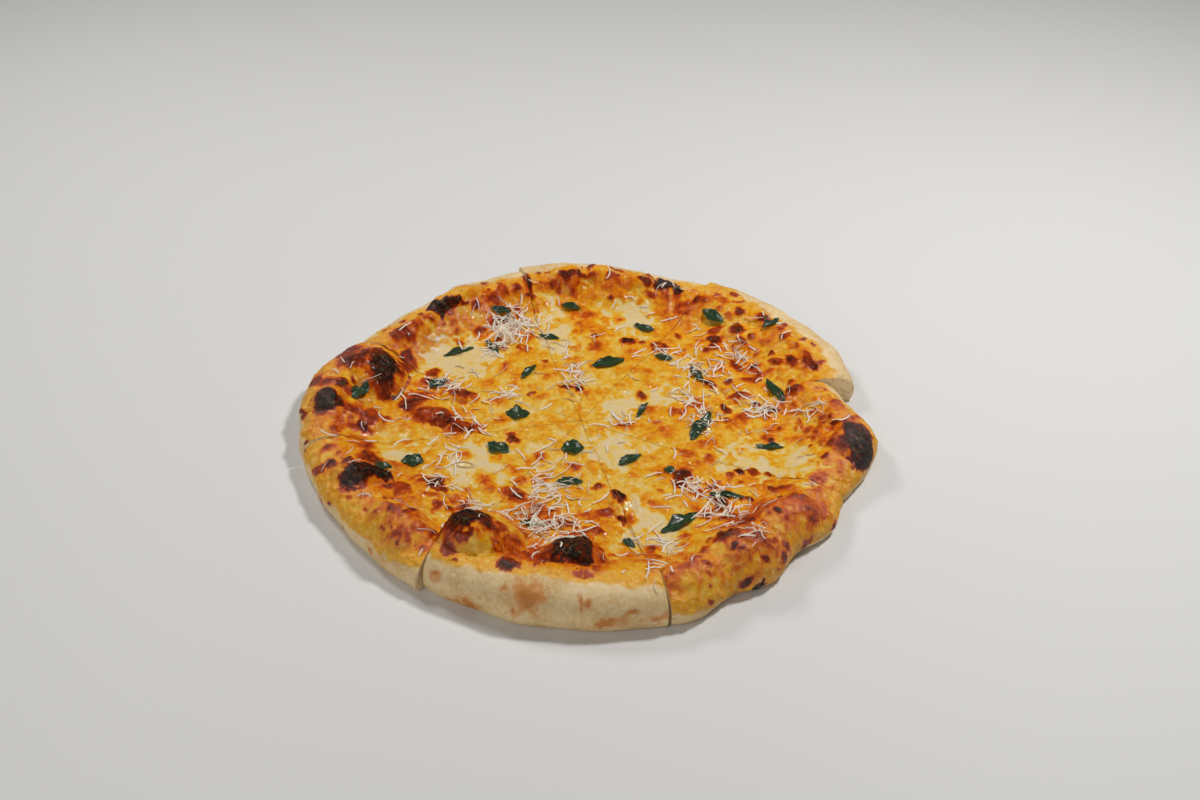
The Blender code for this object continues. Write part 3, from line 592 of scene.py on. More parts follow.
def shapedSlice(number, flat, name, offsets):
    made = flat.copy()
    made.data = flat.data.copy()
    made.name = made.data.name = name
    scene.collection.objects.link(made)
    mesh = made.data
    path, share, above = flatPoints(mesh)
    piece = slices[number]
    points, way, spread = skin(piece, path, share)
    normals = outward(piece, path, share)
    bake, lift, bare, pool, toast = fields(number, way, spread, path, share)
    upper, lower = offsets(number, path, share, way, spread, points)
    top = points + normals * (lift + upper)[:, None]
    final = np.where(above[:, None], top, lower)
    mesh.vertices.foreach_set("co", final.astype(np.float32).ravel())
    for field, values in (("bake", bake), ("bare", bare), ("toast", toast), ("above", above)):
        addField(mesh, field, values)
    mesh.update()
    for polygon in mesh.polygons:
        if len(polygon.vertices) > 4:
            polygon.material_index = 1
    bpy.ops.object.select_all(action="DESELECT")
    made.select_set(True)
    bpy.context.view_layer.objects.active = made
    bpy.ops.object.shade_smooth()
    for polygon in mesh.polygons:
        if polygon.material_index == 1:
            polygon.use_smooth = False
    return made


def cheeseOffsets(number, path, share, way, spread, points):
    x, y = polar(way, spread)
    ragged = 0.0016 * noise(x, y, 0.005, 31)
    upper = 0.00015 - 0.0011 * smoothStep(0.1420, 0.1480, path + ragged)
    lower = points - np.array((0, 0, 1)) * np.maximum(toppingDepth(path), 0.0016)[:, None]
    return upper, lower


def doughOffsets(number, path, share, way, spread, points):
    depth = toppingDepth(path) + 0.0009
    upper = -depth * (1 - smoothStep(0.1360, 0.1450, path))
    reach = np.where(path < dough["crestReach"], path, np.interp(path, wallPaths, wallReaches))
    reach = np.minimum(reach, dough["footReach"])
    lower, underWay, underSpread = placed(slices[number], reach, share, np.zeros_like(reach))
    x, y = polar(underWay, underSpread)
    lower[:, 2] = 0.0002 + 0.0002 * noise(x, y, 0.012, 41)
    return upper, lower


cheeseRows = [0.0] + rows(0.0012, look["cheeseLast"], look["cheeseStep"])
cheeseUnder = rows(look["cheeseLast"] - 0.004, 0.112, 0.006) + rows(0.090, 0.0, 0.03)
flatCheese = flatWedge("flatCheese", cheeseRows, cheeseUnder, look["columns"])
doughRows = [0.0] + rows(0.02, 0.134, 0.014) + rows(0.1355, pathEnd, look["doughStep"])
doughUnder = rows(0.158, 0.112, 0.008) + rows(0.090, 0.0, 0.03)
flatDough = flatWedge("flatDough", doughRows, doughUnder, look["columns"])
print("flat wedges:", len(flatCheese.data.polygons), len(flatDough.data.polygons))

cheeses, doughs = {}, {}
for number in slices:
    cheeses[number] = shapedSlice(number, flatCheese, f"cheese_{number}", cheeseOffsets)
    doughs[number] = shapedSlice(number, flatDough, f"dough_{number}", doughOffsets)
for flat in (flatCheese, flatDough):
    bpy.data.objects.remove(flat, do_unlink=True)
print("slices shaped")

poolShape = {"middleLift": 0.0009, "edgeDrop": 0.0010, "depth": 0.0016, "steps": 56, "rings": 22}


def smoothTree(number):  # the slice's top without its small relief
    path, share = np.meshgrid(np.linspace(0.001, 0.149, 75), np.linspace(0, 1, 60), indexing="ij")
    points = skin(slices[number], path.ravel(), share.ravel())[0]
    quads = [(row * 60 + column, row * 60 + column + 1, (row + 1) * 60 + column + 1, (row + 1) * 60 + column)
             for row in range(74) for column in range(59)]
    return BVHTree.FromPolygons([Vector(point) for point in points], quads)


def heightOn(trees, x, y):
    found = [tree.ray_cast(Vector((x, y, 0.1)), Vector((0, 0, -1)))[0] for tree in trees]
    found = [spot.z for spot in found if spot is not None]
    return max(found) if found else None


pooled = []
for order, (number, way, distance, length, width, turn) in enumerate(pools, start=1):
    rings = list(np.linspace(0, 1, poolShape["rings"]))
    below = [0.85, 0.5, 0.0]
    bpy.ops.object.select_all(action="DESELECT")
    outline = [(ring, 0.1) for ring in rings] + [(ring, 0.0) for ring in below]
    bpy.ops.mesh.primitive_circle_add(vertices=len(outline), fill_type="NOTHING")
    pool = bpy.context.object
    pool.name = pool.data.name = f"mozzarellaPool_{order}"
    for vertex, (ring, height) in zip(pool.data.vertices, outline):
        vertex.co = (ring, 0.0, height)
    bpy.ops.object.mode_set(mode="EDIT")
    bpy.ops.mesh.select_all(action="SELECT")
    bpy.ops.mesh.spin(steps=poolShape["steps"], angle=math.tau, center=(0, 0, 0), axis=(0, 0, 1))
    bpy.ops.mesh.select_all(action="SELECT")
    bpy.ops.mesh.remove_doubles(threshold=1e-5)
    bpy.ops.mesh.normals_make_consistent(inside=False)
    bpy.ops.object.mode_set(mode="OBJECT")
    tree = smoothTree(number)
    first, last = (math.radians(cut) for cut in slices[number]["cuts"])
    radians = math.radians(way)
    middle = Vector((math.cos(radians), math.sin(radians))) * distance / 1000
    lengthWay = radians + math.radians(90 + turn)
    along = Vector((math.cos(lengthWay), math.sin(lengthWay)))
    across = Vector((-along.y, along.x))
    flatSpots, heights = [], []
    for vertex in pool.data.vertices:
        angle = math.atan2(vertex.co.y, vertex.co.x)
        ring = vertex.co.xy.length
        swell = 1.06 * (1 + 0.10 * math.sin(2 * angle + way) + 0.07 * math.sin(3 * angle))
        spot = middle + along * (ring * swell * length / 2000 * math.cos(angle))
        spot = spot + across * (ring * swell * width / 2000 * math.sin(angle))
        spotWay = math.atan2(spot.y, spot.x) % math.tau
        middleCut = (first + last) / 2 % math.tau
        away = (spotWay - middleCut + math.pi) % math.tau - math.pi
        most = (last - first) / 2 - 0.0012 / max(spot.length, 0.006)
        spotWay = middleCut + max(-most, min(most, away))
        spot = Vector((math.cos(spotWay), math.sin(spotWay))) * spot.length
        flatSpots.append((spot.x, spot.y, (away / (last - first) + 0.5)))
        ground = heightOn([tree], cutCentre.x + spot.x, cutCentre.y + spot.y)
        if vertex.co.z > 0.05:
            height = (ground or 0.0085) + poolShape["middleLift"] * (1 - ring ** 2.2)
            height -= (poolShape["edgeDrop"] - 0.0003) * ring ** 2.2 - 0.0001
        else:
            height = (ground or 0.0085) - poolShape["depth"]
        vertex.co = (cutCentre.x + spot.x, cutCentre.y + spot.y, height)
    flatSpots = np.array(flatSpots)
    spread = np.hypot(flatSpots[:, 0], flatSpots[:, 1])
    spotWays = np.arctan2(flatSpots[:, 1], flatSpots[:, 0])
    share = np.clip(flatSpots[:, 2], 0, 1)
    bake, lift, bare, inPool, toast = fields(number, spotWays, spread, spread, share)
    points = np.zeros(len(pool.data.vertices) * 3)
    pool.data.vertices.foreach_get("co", points)
    points = points.reshape(-1, 3)
    points[:, 2] += 0.00022 * noise(flatSpots[:, 0], flatSpots[:, 1], 0.007, 51)
    points[:, 2] += 0.00010 * noise(flatSpots[:, 0], flatSpots[:, 1], 0.003, 52)
    pool.data.vertices.foreach_set("co", points.astype(np.float32).ravel())
    for field, values in (("bake", bake),):
        addField(pool.data, field, values)
    pool.data.update()
    bpy.ops.object.shade_smooth()
    pooled.append(pool)
print("pools:", len(pooled))

bpy.context.view_layer.update()
depsgraph = bpy.context.evaluated_depsgraph_get()
topTrees = {number: [BVHTree.FromObject(cheeses[number], depsgraph), BVHTree.FromObject(doughs[number], depsgraph)]
            for number in slices}
for pool, (number, *_) in zip(pooled, pools):
    topTrees[number].append(BVHTree.FromObject(pool, depsgraph))
allTrees = [tree for trees in topTrees.values() for tree in trees]


def sliceAt(x, y):
    way = math.degrees(math.atan2(y - cutCentre.y, x - cutCentre.x))
    for number, piece in slices.items():
        if (way - piece["cuts"][0]) % 360 < piece["cuts"][1] - piece["cuts"][0]:
            return number


def surfaceHeight(x, y):
    found = heightOn(topTrees[sliceAt(x, y)], x, y)
    return found if found is not None else heightOn(allTrees, x, y)


# Basil: way, distance, length, width, the length's turn, and how much it curls up
basil = {
    "thickness": 0.00028,
    "clear": 0.0004,
    "leaves": [
        (93, 120, 13, 6, -20, 1.0), (103, 90, 13, 5, -30, 1.0), (67, 106, 14, 7, -5, 1.2),
        (50, 133, 18, 9, -10, 1.8), (35, 148, 13, 6, -90, 1.4), (51, 83, 12, 6, 15, 1.0),
        (74, 62, 22, 10, 35, 1.4), (32, 85, 16, 6, -10, 1.4), (12, 121, 26, 7, 5, 1.8),
        (354, 71, 27, 9, -20, 1.8), (346, 113, 15, 6, -80, 1.4), (15, 38, 16, 4, -40, 1.0),
        (306, 47, 16, 7, 0, 1.4), (259, 27, 13, 13, 20, 1.6), (169, 39, 13, 14, -75, 1.8),
        (208, 55, 14, 11, 25, 1.6), (201, 104, 13, 11, 65, 1.4), (206, 124, 9, 10, 65, 1.2),
        (157, 96, 11, 10, -35, 1.4), (137, 106, 19, 7, -20, 1.4), (126, 96, 18, 5, 80, 1.2),
        (115, 122, 12, 6, -25, 1.4), (123, 60, 16, 6, 30, 1.2), (172, 134, 14, 9, -30, 1.6),
        (263, 57, 15, 7, 5, 1.2), (316, 70, 7, 6, -70, 1.0), (317, 109, 18, 6, -55, 1.0),
        (300, 107, 24, 10, 10, 2.2), (253, 97, 9, 5, 5, 1.2), (283, 112, 9, 5, -60, 1.2),
    ],
}
leaves = []
random = np.random.default_rng(5)
for way, distance, length, width, turn, curl in basil["leaves"]:
    bpy.ops.object.select_all(action="DESELECT")
    bpy.ops.mesh.primitive_grid_add(x_subdivisions=14, y_subdivisions=10, size=2)
    leaf = bpy.context.object
    phases = random.uniform(0, math.tau, 4)
    radians = math.radians(way)
    middle = Vector((math.cos(radians), math.sin(radians))) * distance / 1000 + cutCentre
    lengthWay = radians + math.radians(90 + turn)
    along = Vector((math.cos(lengthWay), math.sin(lengthWay)))
    across = Vector((-along.y, along.x))
    lowest = []
    tone = random.uniform(0, 1)
    tones = []
    for vertex in leaf.data.vertices:
        x, y = vertex.co.x, vertex.co.y
        x, y = x * math.sqrt(1 - y * y / 2), y * math.sqrt(1 - x * x / 2)
        angle, ring = math.atan2(y, x), math.hypot(x, y)
        edge = 0.95 + 0.05 * math.sin(2 * angle + phases[0]) + 0.05 * math.sin(3 * angle + phases[1])
        edge += 0.04 * math.sin(5 * angle + phases[2]) + 0.03 * math.sin(11 * angle + phases[3])
        edge += 0.12 * abs(math.cos(angle)) ** 6 - 0.10 * abs(math.sin(2 * angle))
        x, y = x * edge, y * edge
        spot = middle + along * (x * length / 2000) + across * (y * width / 2000)
        ground = surfaceHeight(spot.x, spot.y) or 0.02
        lowest.append(ground)
        rise = curl * 0.0009 * (y * y + 0.45 * x * x * math.cos(phases[3]))
        rise += curl * 0.00045 * math.sin(5 * x + phases[0]) * ring
        rise += 0.00030 * math.sin(9 * y + 4 * x + phases[1])
        vertex.co = (spot.x, spot.y, max(rise, -0.00005))
        tones.append((x, y, tone))
    high = sorted(lowest)[int(len(lowest) * 0.7)]
    for vertex, ground in zip(leaf.data.vertices, lowest):
        vertex.co.z += max(0.80 * high + 0.20 * ground, ground) + basil["clear"]
    for axis, field in enumerate(("leafAlong", "leafAcross", "leafTone")):
        addField(leaf.data, field, [values[axis] for values in tones])
    solid = leaf.modifiers.new("thickness", "SOLIDIFY")
    solid.thickness = basil["thickness"]
    bpy.ops.object.modifier_apply(modifier="thickness")
    leaves.append(leaf)
bpy.ops.object.select_all(action="DESELECT")
for leaf in leaves:
    leaf.select_set(True)
bpy.context.view_layer.objects.active = leaves[0]
bpy.ops.object.join()
leaves = bpy.context.object
leaves.name = leaves.data.name = "basilLeaves"
bpy.ops.object.shade_smooth()
print("basil pieces laid")

# Grated parmesan: way, distance, spread along the rim, spread across it, and how many shreds
parmesan = {
    "length": (0.006, 0.016),
    "width": 0.0010,
    "thickness": 0.00045,
    "strewn": 240,
    "heaps": [
        (114, 108, 24, 20, 120), (124, 96, 14, 12, 18), (95, 47, 8, 28, 26), (35, 91, 20, 16, 32),
        (35, 118, 16, 12, 14), (28, 118, 24, 8, 12), (17, 72, 16, 14, 14), (52, 88, 12, 12, 10),
        (5, 108, 20, 18, 34), (358, 137, 12, 12, 12), (3, 25, 12, 12, 10), (0, 72, 22, 18, 26),
        (157, 93, 18, 14, 24), (152, 52, 14, 12, 12), (183, 68, 14, 14, 14), (216, 101, 20, 12, 10),
        (205, 80, 14, 14, 12), (253, 70, 26, 18, 44), (257, 94, 30, 16, 64), (236, 101, 26, 12, 34),
        (285, 148, 6, 22, 10), (315, 91, 16, 14, 20), (311, 118, 22, 18, 34), (308, 152, 14, 12, 10),
        (318, 105, 16, 10, 12), (290, 120, 16, 14, 16), (262, 110, 26, 12, 20), (247, 50, 16, 16, 14),
    ],
}
bpy.ops.object.select_all(action="DESELECT")
bpy.ops.mesh.primitive_circle_add(vertices=4, radius=1, fill_type="NGON")
shred = bpy.context.object
bpy.ops.object.mode_set(mode="EDIT")
bpy.ops.mesh.select_all(action="SELECT")
for _ in range(6):
    bpy.ops.mesh.extrude_region_move(TRANSFORM_OT_translate={"value": (0, 0, 1 / 6)})
bpy.ops.mesh.select_all(action="SELECT")
bpy.ops.mesh.normals_make_consistent(inside=False)
bpy.ops.object.mode_set(mode="OBJECT")
shredPoints = np.array([vertex.co for vertex in shred.data.vertices])
shredFaces = [tuple(polygon.vertices) for polygon in shred.data.polygons]
bpy.data.objects.remove(shred, do_unlink=True)

random = np.random.default_rng(9)
spots = []
for way, distance, spreadAlong, spreadAcross, count in parmesan["heaps"]:
    radians = math.radians(way)
    for _ in range(round(count * 1.35)):
        along, across = random.normal(0, 0.40, 2)
        spotDistance = (distance + across * spreadAcross) / 1000
        spotWay = radians + along * spreadAlong / 1000 / max(spotDistance, 0.01)
        spots.append((spotWay, spotDistance))
for _ in range(parmesan["strewn"]):
    spots.append((random.uniform(0, math.tau), 0.155 * math.sqrt(random.uniform(0, 1))))
allPoints, allFaces = [], []
for way, distance in spots:
    x, y = polar(way, distance)
    start = Vector((x, y)) + cutCentre
    heading = random.uniform(0, math.tau)
    bend = random.normal(0, 0.45)
    length = random.uniform(*parmesan["length"]) * random.choice([1, 0.8, 0.5])
    grounds, line = [], []
    for step in range(7):
        share = step / 6 - 0.5
        turn = heading + bend * share
        point = start + Vector((math.cos(turn), math.sin(turn))) * length * share
        line.append((point, turn))
        grounds.append(surfaceHeight(point.x, point.y) or -1)
    if min(grounds) < 0.004 or max(grounds) - min(grounds) > 0.006:
        continue
    slope = np.linspace(grounds[0], grounds[-1], 7)
    raised = max(0.0, float(np.max(np.array(grounds) - slope)))
    heights = np.maximum(np.array(grounds), slope + 0.5 * raised) + 0.00030 + abs(random.normal(0, 0.0003))
    roll = random.uniform(0, math.pi)
    base = len(allPoints)
    for x, y, z in shredPoints:
        step = round(z * 6)
        point, turn = line[step]
        taper = 0.55 + 0.45 * math.sin(math.pi * (step + 0.6) / 7.2)
        side = (x * math.cos(roll) * parmesan["width"] / 2 - y * math.sin(roll) * parmesan["thickness"] / 2) * taper
        rise = (x * math.sin(roll) * parmesan["width"] / 2 + y * math.cos(roll) * parmesan["thickness"] / 2) * taper
        allPoints.append((point.x - math.sin(turn) * side, point.y + math.cos(turn) * side, heights[step] + rise))
    allFaces += [tuple(base + corner for corner in face) for face in shredFaces]
shredMesh = bpy.data.meshes.new("parmesanShreds")
shredMesh.from_pydata(allPoints, [], allFaces)
shreds = bpy.data.objects.new("parmesanShreds", shredMesh)
scene.collection.objects.link(shreds)
print("parmesan shreds:", len(allPoints) // len(shredPoints))


# Materials
def newGroup(name, inputs, outputs):
    group = bpy.data.node_groups.new(name, "ShaderNodeTree")
    for label, kind in inputs:
        group.interface.new_socket(label, in_out="INPUT", socket_type=kind)
    for label, kind in outputs:
        group.interface.new_socket(label, in_out="OUTPUT", socket_type=kind)
    return group, group.nodes.new("NodeGroupInput"), group.nodes.new("NodeGroupOutput")


def add(tree, kind, inputs, **settings):  # a node with its settings, values and links
    node = tree.nodes.new(kind)
    for name, value in settings.items():
        setattr(node, name, value)
    for name, value in inputs.items():
        if isinstance(value, bpy.types.NodeSocket):
            tree.links.new(value, node.inputs[name])
        else:
            node.inputs[name].default_value = value
    return node


def maths(tree, operation, first, second=0.0, third=0.0, clamp=False):
    return add(tree, "ShaderNodeMath", {0: first, 1: second, 2: third}, operation=operation, use_clamp=clamp).outputs[0]


def noiseNode(tree, scale, detail=3.0, roughness=0.55):
    place = add(tree, "ShaderNodeTexCoord", {}).outputs["Object"]
    return add(tree, "ShaderNodeTexNoise", {"Vector": place, "Scale": scale, "Detail": detail, "Roughness": roughness}).outputs["Fac"]


def mixed(tree, share, first, second):
    node = add(tree, "ShaderNodeMix", {}, data_type="RGBA")
    for index, value in ((0, share), (6, first), (7, second)):
        if isinstance(value, bpy.types.NodeSocket):
            tree.links.new(value, node.inputs[index])
        else:
            node.inputs[index].default_value = value
    return node.outputs[2]


def linear(red, green, blue):  # a screen colour of 0 to 255 as the shader's light values
    values = [channel / 255 for channel in (red, green, blue)]
    values = [value / 12.92 if value <= 0.04045 else ((value + 0.055) / 1.055) ** 2.4 for value in values]
    return (*values, 1.0)


baked = {
    "stops": [
        (0.00, (234, 208, 160)),
        (0.10, (238, 202, 122)),
        (0.20, (240, 188, 58)),
        (0.31, (240, 164, 14)),
        (0.43, (232, 132, 4)),
        (0.55, (210, 90, 2)),
        (0.67, (168, 54, 3)),
        (0.78, (112, 33, 5)),
        (0.89, (58, 20, 7)),
        (1.00, (24, 13, 9)),
    ],
    "fleck": 0.30,
    "speck": 0.08,
    # cream flecks, partly unmelted cheese and partly painted highlight on the small lumps
    "curdAndPaintedGlint": 0.42,
    # painted shade in the crevices between lumps, in the shade colour below
    "paintedCreviceShade": 0.28,
    "cream": (250, 222, 140),
    "shade": (172, 78, 8),
    "bump": 1.0,
}
group, entry, result = newGroup("bakedCheese", [("Bake", "NodeSocketFloat")],
                                [("Color", "NodeSocketColor"), ("Roughness", "NodeSocketFloat"),
                                 ("Normal", "NodeSocketVector")])
fleck = noiseNode(group, 330, 4, 0.6)
speck = noiseNode(group, 1100, 2, 0.6)
value = maths(group, "MULTIPLY_ADD", maths(group, "SUBTRACT", fleck, 0.5), baked["fleck"], entry.outputs["Bake"])
value = maths(group, "MULTIPLY_ADD", maths(group, "SUBTRACT", speck, 0.5), baked["speck"], value)
ramp = add(group, "ShaderNodeValToRGB", {"Fac": value})
elements = ramp.color_ramp.elements
for spot, colour in baked["stops"]:
    element = elements[0] if spot == 0 else elements[-1] if spot == 1 else elements.new(spot)
    element.color = linear(*colour)
grains = noiseNode(group, 360, 2, 0.5)
calm = add(group, "ShaderNodeMapRange", {"Value": entry.outputs["Bake"], "From Min": 0.35, "From Max": 0.70, "To Min": 1.0, "To Max": 0.25})
# Cream flecks on the lumps: partly unmelted cheese, partly painted highlight; fewer where the cheese is baked
curdAndPaintedGlint = add(group, "ShaderNodeMapRange", {"Value": grains, "From Min": 0.56, "From Max": 0.74, "To Max": baked["curdAndPaintedGlint"]})
curdAndPaintedGlint = maths(group, "MULTIPLY", curdAndPaintedGlint.outputs[0], calm.outputs[0])
colour = mixed(group, curdAndPaintedGlint, ramp.outputs["Color"], linear(*baked["cream"]))
# Painted shade: the crevices between the lumps turn a deep orange-brown, less where the cheese is palest
paintedCreviceShade = add(group, "ShaderNodeMapRange", {"Value": grains, "From Min": 0.46, "From Max": 0.30, "To Max": baked["paintedCreviceShade"]})
deeper = add(group, "ShaderNodeMapRange", {"Value": entry.outputs["Bake"], "From Min": 0.05, "From Max": 0.30})
colour = mixed(group, maths(group, "MULTIPLY", paintedCreviceShade.outputs[0], deeper.outputs[0]), colour, linear(*baked["shade"]))
group.links.new(colour, result.inputs["Color"])
gloss = add(group, "ShaderNodeMapRange", {"Value": noiseNode(group, 160, 3), "From Min": 0.35, "From Max": 0.65, "To Min": 0.30, "To Max": 0.50})
burnt = add(group, "ShaderNodeMapRange", {"Value": entry.outputs["Bake"], "From Min": 0.7, "From Max": 1.0, "To Min": 0.0, "To Max": 0.25})
group.links.new(maths(group, "ADD", gloss.outputs[0], burnt.outputs[0]), result.inputs["Roughness"])
heights = maths(group, "MULTIPLY_ADD", noiseNode(group, 520, 4, 0.6), 1.0, maths(group, "MULTIPLY", speck, 0.4))
bump = add(group, "ShaderNodeBump", {"Strength": baked["bump"], "Distance": 0.0007, "Height": heights})
group.links.new(bump.outputs["Normal"], result.inputs["Normal"])
bakedGroup = group

crust = {
    "pale": (238, 206, 150), "floury": (244, 222, 180), "tan": (216, 170, 102), "toast": (212, 124, 26),
    "burnt": (146, 72, 18), "bump": 0.35,
}
group, entry, result = newGroup("bareCrust", [("Toast", "NodeSocketFloat"), ("Under", "NodeSocketFloat")],
                                [("Color", "NodeSocketColor"), ("Roughness", "NodeSocketFloat"), ("Normal", "NodeSocketVector")])
cloud = add(group, "ShaderNodeMapRange", {"Value": noiseNode(group, 55, 4), "From Min": 0.38, "From Max": 0.68})
flour = add(group, "ShaderNodeMapRange", {"Value": noiseNode(group, 420, 4, 0.65), "From Min": 0.42, "From Max": 0.62})
colour = mixed(group, cloud.outputs[0], linear(*crust["pale"]), linear(*crust["tan"]))
colour = mixed(group, maths(group, "MULTIPLY", flour.outputs[0], 0.55), colour, linear(*crust["floury"]))
feather = maths(group, "MULTIPLY_ADD", maths(group, "SUBTRACT", noiseNode(group, 210, 4, 0.6), 0.5), 1.4, entry.outputs["Toast"])
feather = maths(group, "MULTIPLY", feather, maths(group, "GREATER_THAN", entry.outputs["Toast"], 0.02), clamp=True)
leopard = add(group, "ShaderNodeMapRange", {"Value": noiseNode(group, 75, 5, 0.6), "From Min": 0.56, "From Max": 0.70})
toasted = maths(group, "MULTIPLY_ADD", leopard.outputs[0], maths(group, "MULTIPLY", entry.outputs["Under"], 0.8), feather, clamp=True)
colour = mixed(group, maths(group, "MULTIPLY", toasted, 0.8), colour, linear(*crust["toast"]))
darkest = add(group, "ShaderNodeMapRange", {"Value": toasted, "From Min": 0.90, "From Max": 1.40})
colour = mixed(group, darkest.outputs[0], colour, linear(*crust["burnt"]))
group.links.new(colour, result.inputs["Color"])
result.inputs["Roughness"].default_value = 0.72
bump = add(group, "ShaderNodeBump", {"Strength": crust["bump"], "Distance": 0.0005, "Height": noiseNode(group, 700, 5, 0.65)})
group.links.new(bump.outputs["Normal"], result.inputs["Normal"])
crustGroup = group


def newMaterial(name):
    material = bpy.data.materials.new(name)
    material.use_nodes = True
    return material, material.node_tree, material.node_tree.nodes["Principled BSDF"]


def attribute(tree, name):
    return add(tree, "ShaderNodeAttribute", {}, attribute_name=name).outputs["Fac"]


cheeseMaterial, tree, shader = newMaterial("bakedCheese")
coat = add(tree, "ShaderNodeGroup", {}, node_tree=bakedGroup)
bake = attribute(tree, "bake")
tree.links.new(bake, coat.inputs["Bake"])
for name, socket in (("Color", "Base Color"), ("Roughness", "Roughness"), ("Normal", "Normal")):
    tree.links.new(coat.outputs[name], shader.inputs[socket])
shader.inputs["Specular IOR Level"].default_value = 0.07
wet = {"Value": bake, "From Min": 0.30, "From Max": 0.75, "To Min": 0.40, "To Max": 0.12}
wet = add(tree, "ShaderNodeMapRange", wet).outputs[0]  # baked spots are drier
tree.links.new(wet, shader.inputs["Coat Weight"])
shader.inputs["Coat Roughness"].default_value = 0.05
calm = {"Value": bake, "From Min": 0.35, "From Max": 0.70, "To Min": 1.0, "To Max": 0.25}
calm = add(tree, "ShaderNodeMapRange", calm).outputs[0]
beads = {"Strength": calm, "Distance": 0.0008, "Height": noiseNode(tree, 430, 1, 0.5)}
beads = add(tree, "ShaderNodeBump", beads).outputs["Normal"]
tree.links.new(beads, shader.inputs["Coat Normal"])

poolMaterial = cheeseMaterial.copy()
poolMaterial.name = "meltedMozzarella"

doughMaterial, tree, shader = newMaterial("bakedDough")
coat = add(tree, "ShaderNodeGroup", {}, node_tree=bakedGroup)
tree.links.new(attribute(tree, "bake"), coat.inputs["Bake"])
above = attribute(tree, "above")
bareSkin = add(tree, "ShaderNodeGroup", {}, node_tree=crustGroup)
tree.links.new(attribute(tree, "toast"), bareSkin.inputs["Toast"])
tree.links.new(maths(tree, "SUBTRACT", 1.0, above), bareSkin.inputs["Under"])
bareness = maths(tree, "ADD", attribute(tree, "bare"), maths(tree, "SUBTRACT", 1.0, above), clamp=True)
for name, socket in (("Color", "Base Color"), ("Roughness", "Roughness"), ("Normal", "Normal")):
    kind = {"Color": "RGBA", "Roughness": "FLOAT", "Normal": "VECTOR"}[name]
    index = {"RGBA": (6, 7, 2), "FLOAT": (2, 3, 0), "VECTOR": (4, 5, 1)}[kind]
    blend = add(tree, "ShaderNodeMix", {}, data_type=kind)
    tree.links.new(bareness, blend.inputs[0])
    tree.links.new(coat.outputs[name], blend.inputs[index[0]])
    tree.links.new(bareSkin.outputs[name], blend.inputs[index[1]])
    tree.links.new(blend.outputs[index[2]], shader.inputs[socket])

crumbMaterial, tree, shader = newMaterial("crumb")
place = add(tree, "ShaderNodeTexCoord", {}).outputs["Object"]
holes = add(tree, "ShaderNodeTexVoronoi", {"Vector": place, "Scale": 320.0, "Randomness": 1.0})
hollow = add(tree, "ShaderNodeMapRange", {"Value": holes.outputs["Distance"], "From Min": 0.1, "From Max": 0.45})
# Painted shade: the air holes are coloured darker than the crumb around them
colour = mixed(tree, hollow.outputs[0], linear(226, 190, 134), linear(250, 226, 184))
tree.links.new(colour, shader.inputs["Base Color"])
bump = add(tree, "ShaderNodeBump", {"Strength": 0.35, "Distance": 0.0010, "Height": hollow.outputs[0]})
tree.links.new(bump.outputs["Normal"], shader.inputs["Normal"])
shader.inputs["Roughness"].default_value = 0.8

layersMaterial, tree, shader = newMaterial("cutTopping")
colour = mixed(tree, noiseNode(tree, 400, 3), linear(190, 70, 18), linear(232, 170, 60))
tree.links.new(colour, shader.inputs["Base Color"])
shader.inputs["Roughness"].default_value = 0.45

leafMaterial, tree, shader = newMaterial("basilLeaf")
vein = maths(tree, "ABSOLUTE", attribute(tree, "leafAcross"))
vein = add(tree, "ShaderNodeMapRange", {"Value": vein, "From Min": 0.0, "From Max": 0.10, "To Min": 0.5, "To Max": 0.0})
colour = mixed(tree, noiseNode(tree, 260, 3), linear(9, 24, 12), linear(46, 76, 32))
colour = mixed(tree, maths(tree, "MULTIPLY", attribute(tree, "leafTone"), 0.5), colour, linear(26, 50, 36))
colour = mixed(tree, vein.outputs[0], colour, linear(80, 106, 56))
tree.links.new(colour, shader.inputs["Base Color"])
shader.inputs["Roughness"].default_value = 0.30
bump = add(tree, "ShaderNodeBump", {"Strength": 0.4, "Distance": 0.0006, "Height": noiseNode(tree, 420, 3)})
tree.links.new(bump.outputs["Normal"], shader.inputs["Normal"])

shredMaterial, tree, shader = newMaterial("gratedParmesan")
colour = mixed(tree, noiseNode(tree, 300, 2), linear(240, 224, 200), linear(248, 238, 222))
tree.links.new(colour, shader.inputs["Base Color"])
shader.inputs["Roughness"].default_value = 0.5

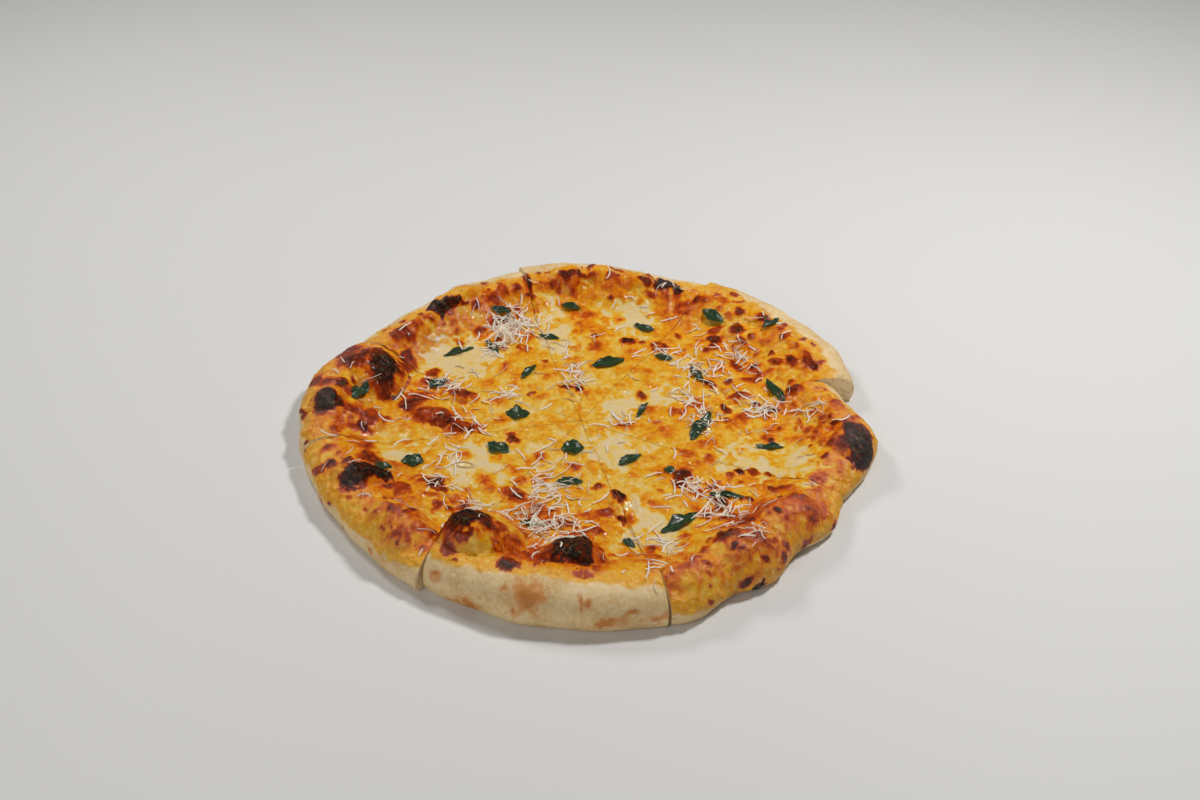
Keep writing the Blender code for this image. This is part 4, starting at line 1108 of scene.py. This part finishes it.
for number in slices:
    cheeses[number].data.materials.append(cheeseMaterial)
    cheeses[number].data.materials.append(layersMaterial)
    doughs[number].data.materials.append(doughMaterial)
    doughs[number].data.materials.append(crumbMaterial)
    for piece, node, slot in ((cheeses[number], "topping", "topping"), (doughs[number], "crust", "crust")):
        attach(piece, "root")
        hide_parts(f"{node}_{number}")
for order, pool in enumerate(pooled, start=1):
    pool.data.materials.append(poolMaterial)
    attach(pool, "root")
    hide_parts(f"mozzarella_{order}")
for piece, material, slot in ((leaves, leafMaterial, "basil"), (shreds, shredMaterial, "parmesan")):
    piece.data.materials.append(material)
    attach(piece, "root")
print("materials set")

bpy.ops.object.select_all(action="DESELECT")
bpy.ops.mesh.primitive_plane_add(size=6)
floor = bpy.context.object
floor.name = "floor"
floorMaterial, tree, shader = newMaterial("floorPaint")
shader.inputs["Base Color"].default_value = (0.80, 0.79, 0.77, 1.0)
shader.inputs["Roughness"].default_value = 0.6
floor.data.materials.append(floorMaterial)

world = bpy.data.worlds.new("studio")
scene.world = world
world.use_nodes = True
world.node_tree.nodes["Background"].inputs["Color"].default_value = (1.0, 1.0, 1.0, 1.0)
world.node_tree.nodes["Background"].inputs["Strength"].default_value = 0.08

lamps = [
    ("key", (0.55, 0.25, 0.90), 0.14, 6.6),
    ("side", (-0.55, 0.55, 0.80), 0.25, 3.2),
    ("fill", (-0.55, -0.85, 0.60), 0.8, 3.2),
]
for name, place, size, power in lamps:
    data = bpy.data.lights.new(name, "AREA")
    data.size = size
    data.energy = power
    lamp = bpy.data.objects.new(name, data)
    scene.collection.objects.link(lamp)
    lamp.location = place
    lamp.rotation_euler = (-Vector(place)).to_track_quat("-Z", "Y").to_euler()

camera = bpy.data.cameras.new("camera")
camera.lens = 45
camera.sensor_width = 36
camera.clip_start = 0.01
viewer = bpy.data.objects.new("camera", camera)
scene.collection.objects.link(viewer)
viewer.location = (0.0, -0.7092, 0.552)
viewer.rotation_euler = (math.radians(90 - 36.6), 0.0, math.radians(-0.78))
scene.camera = viewer
scene.view_settings.view_transform = "Standard"

print("all pieces made")
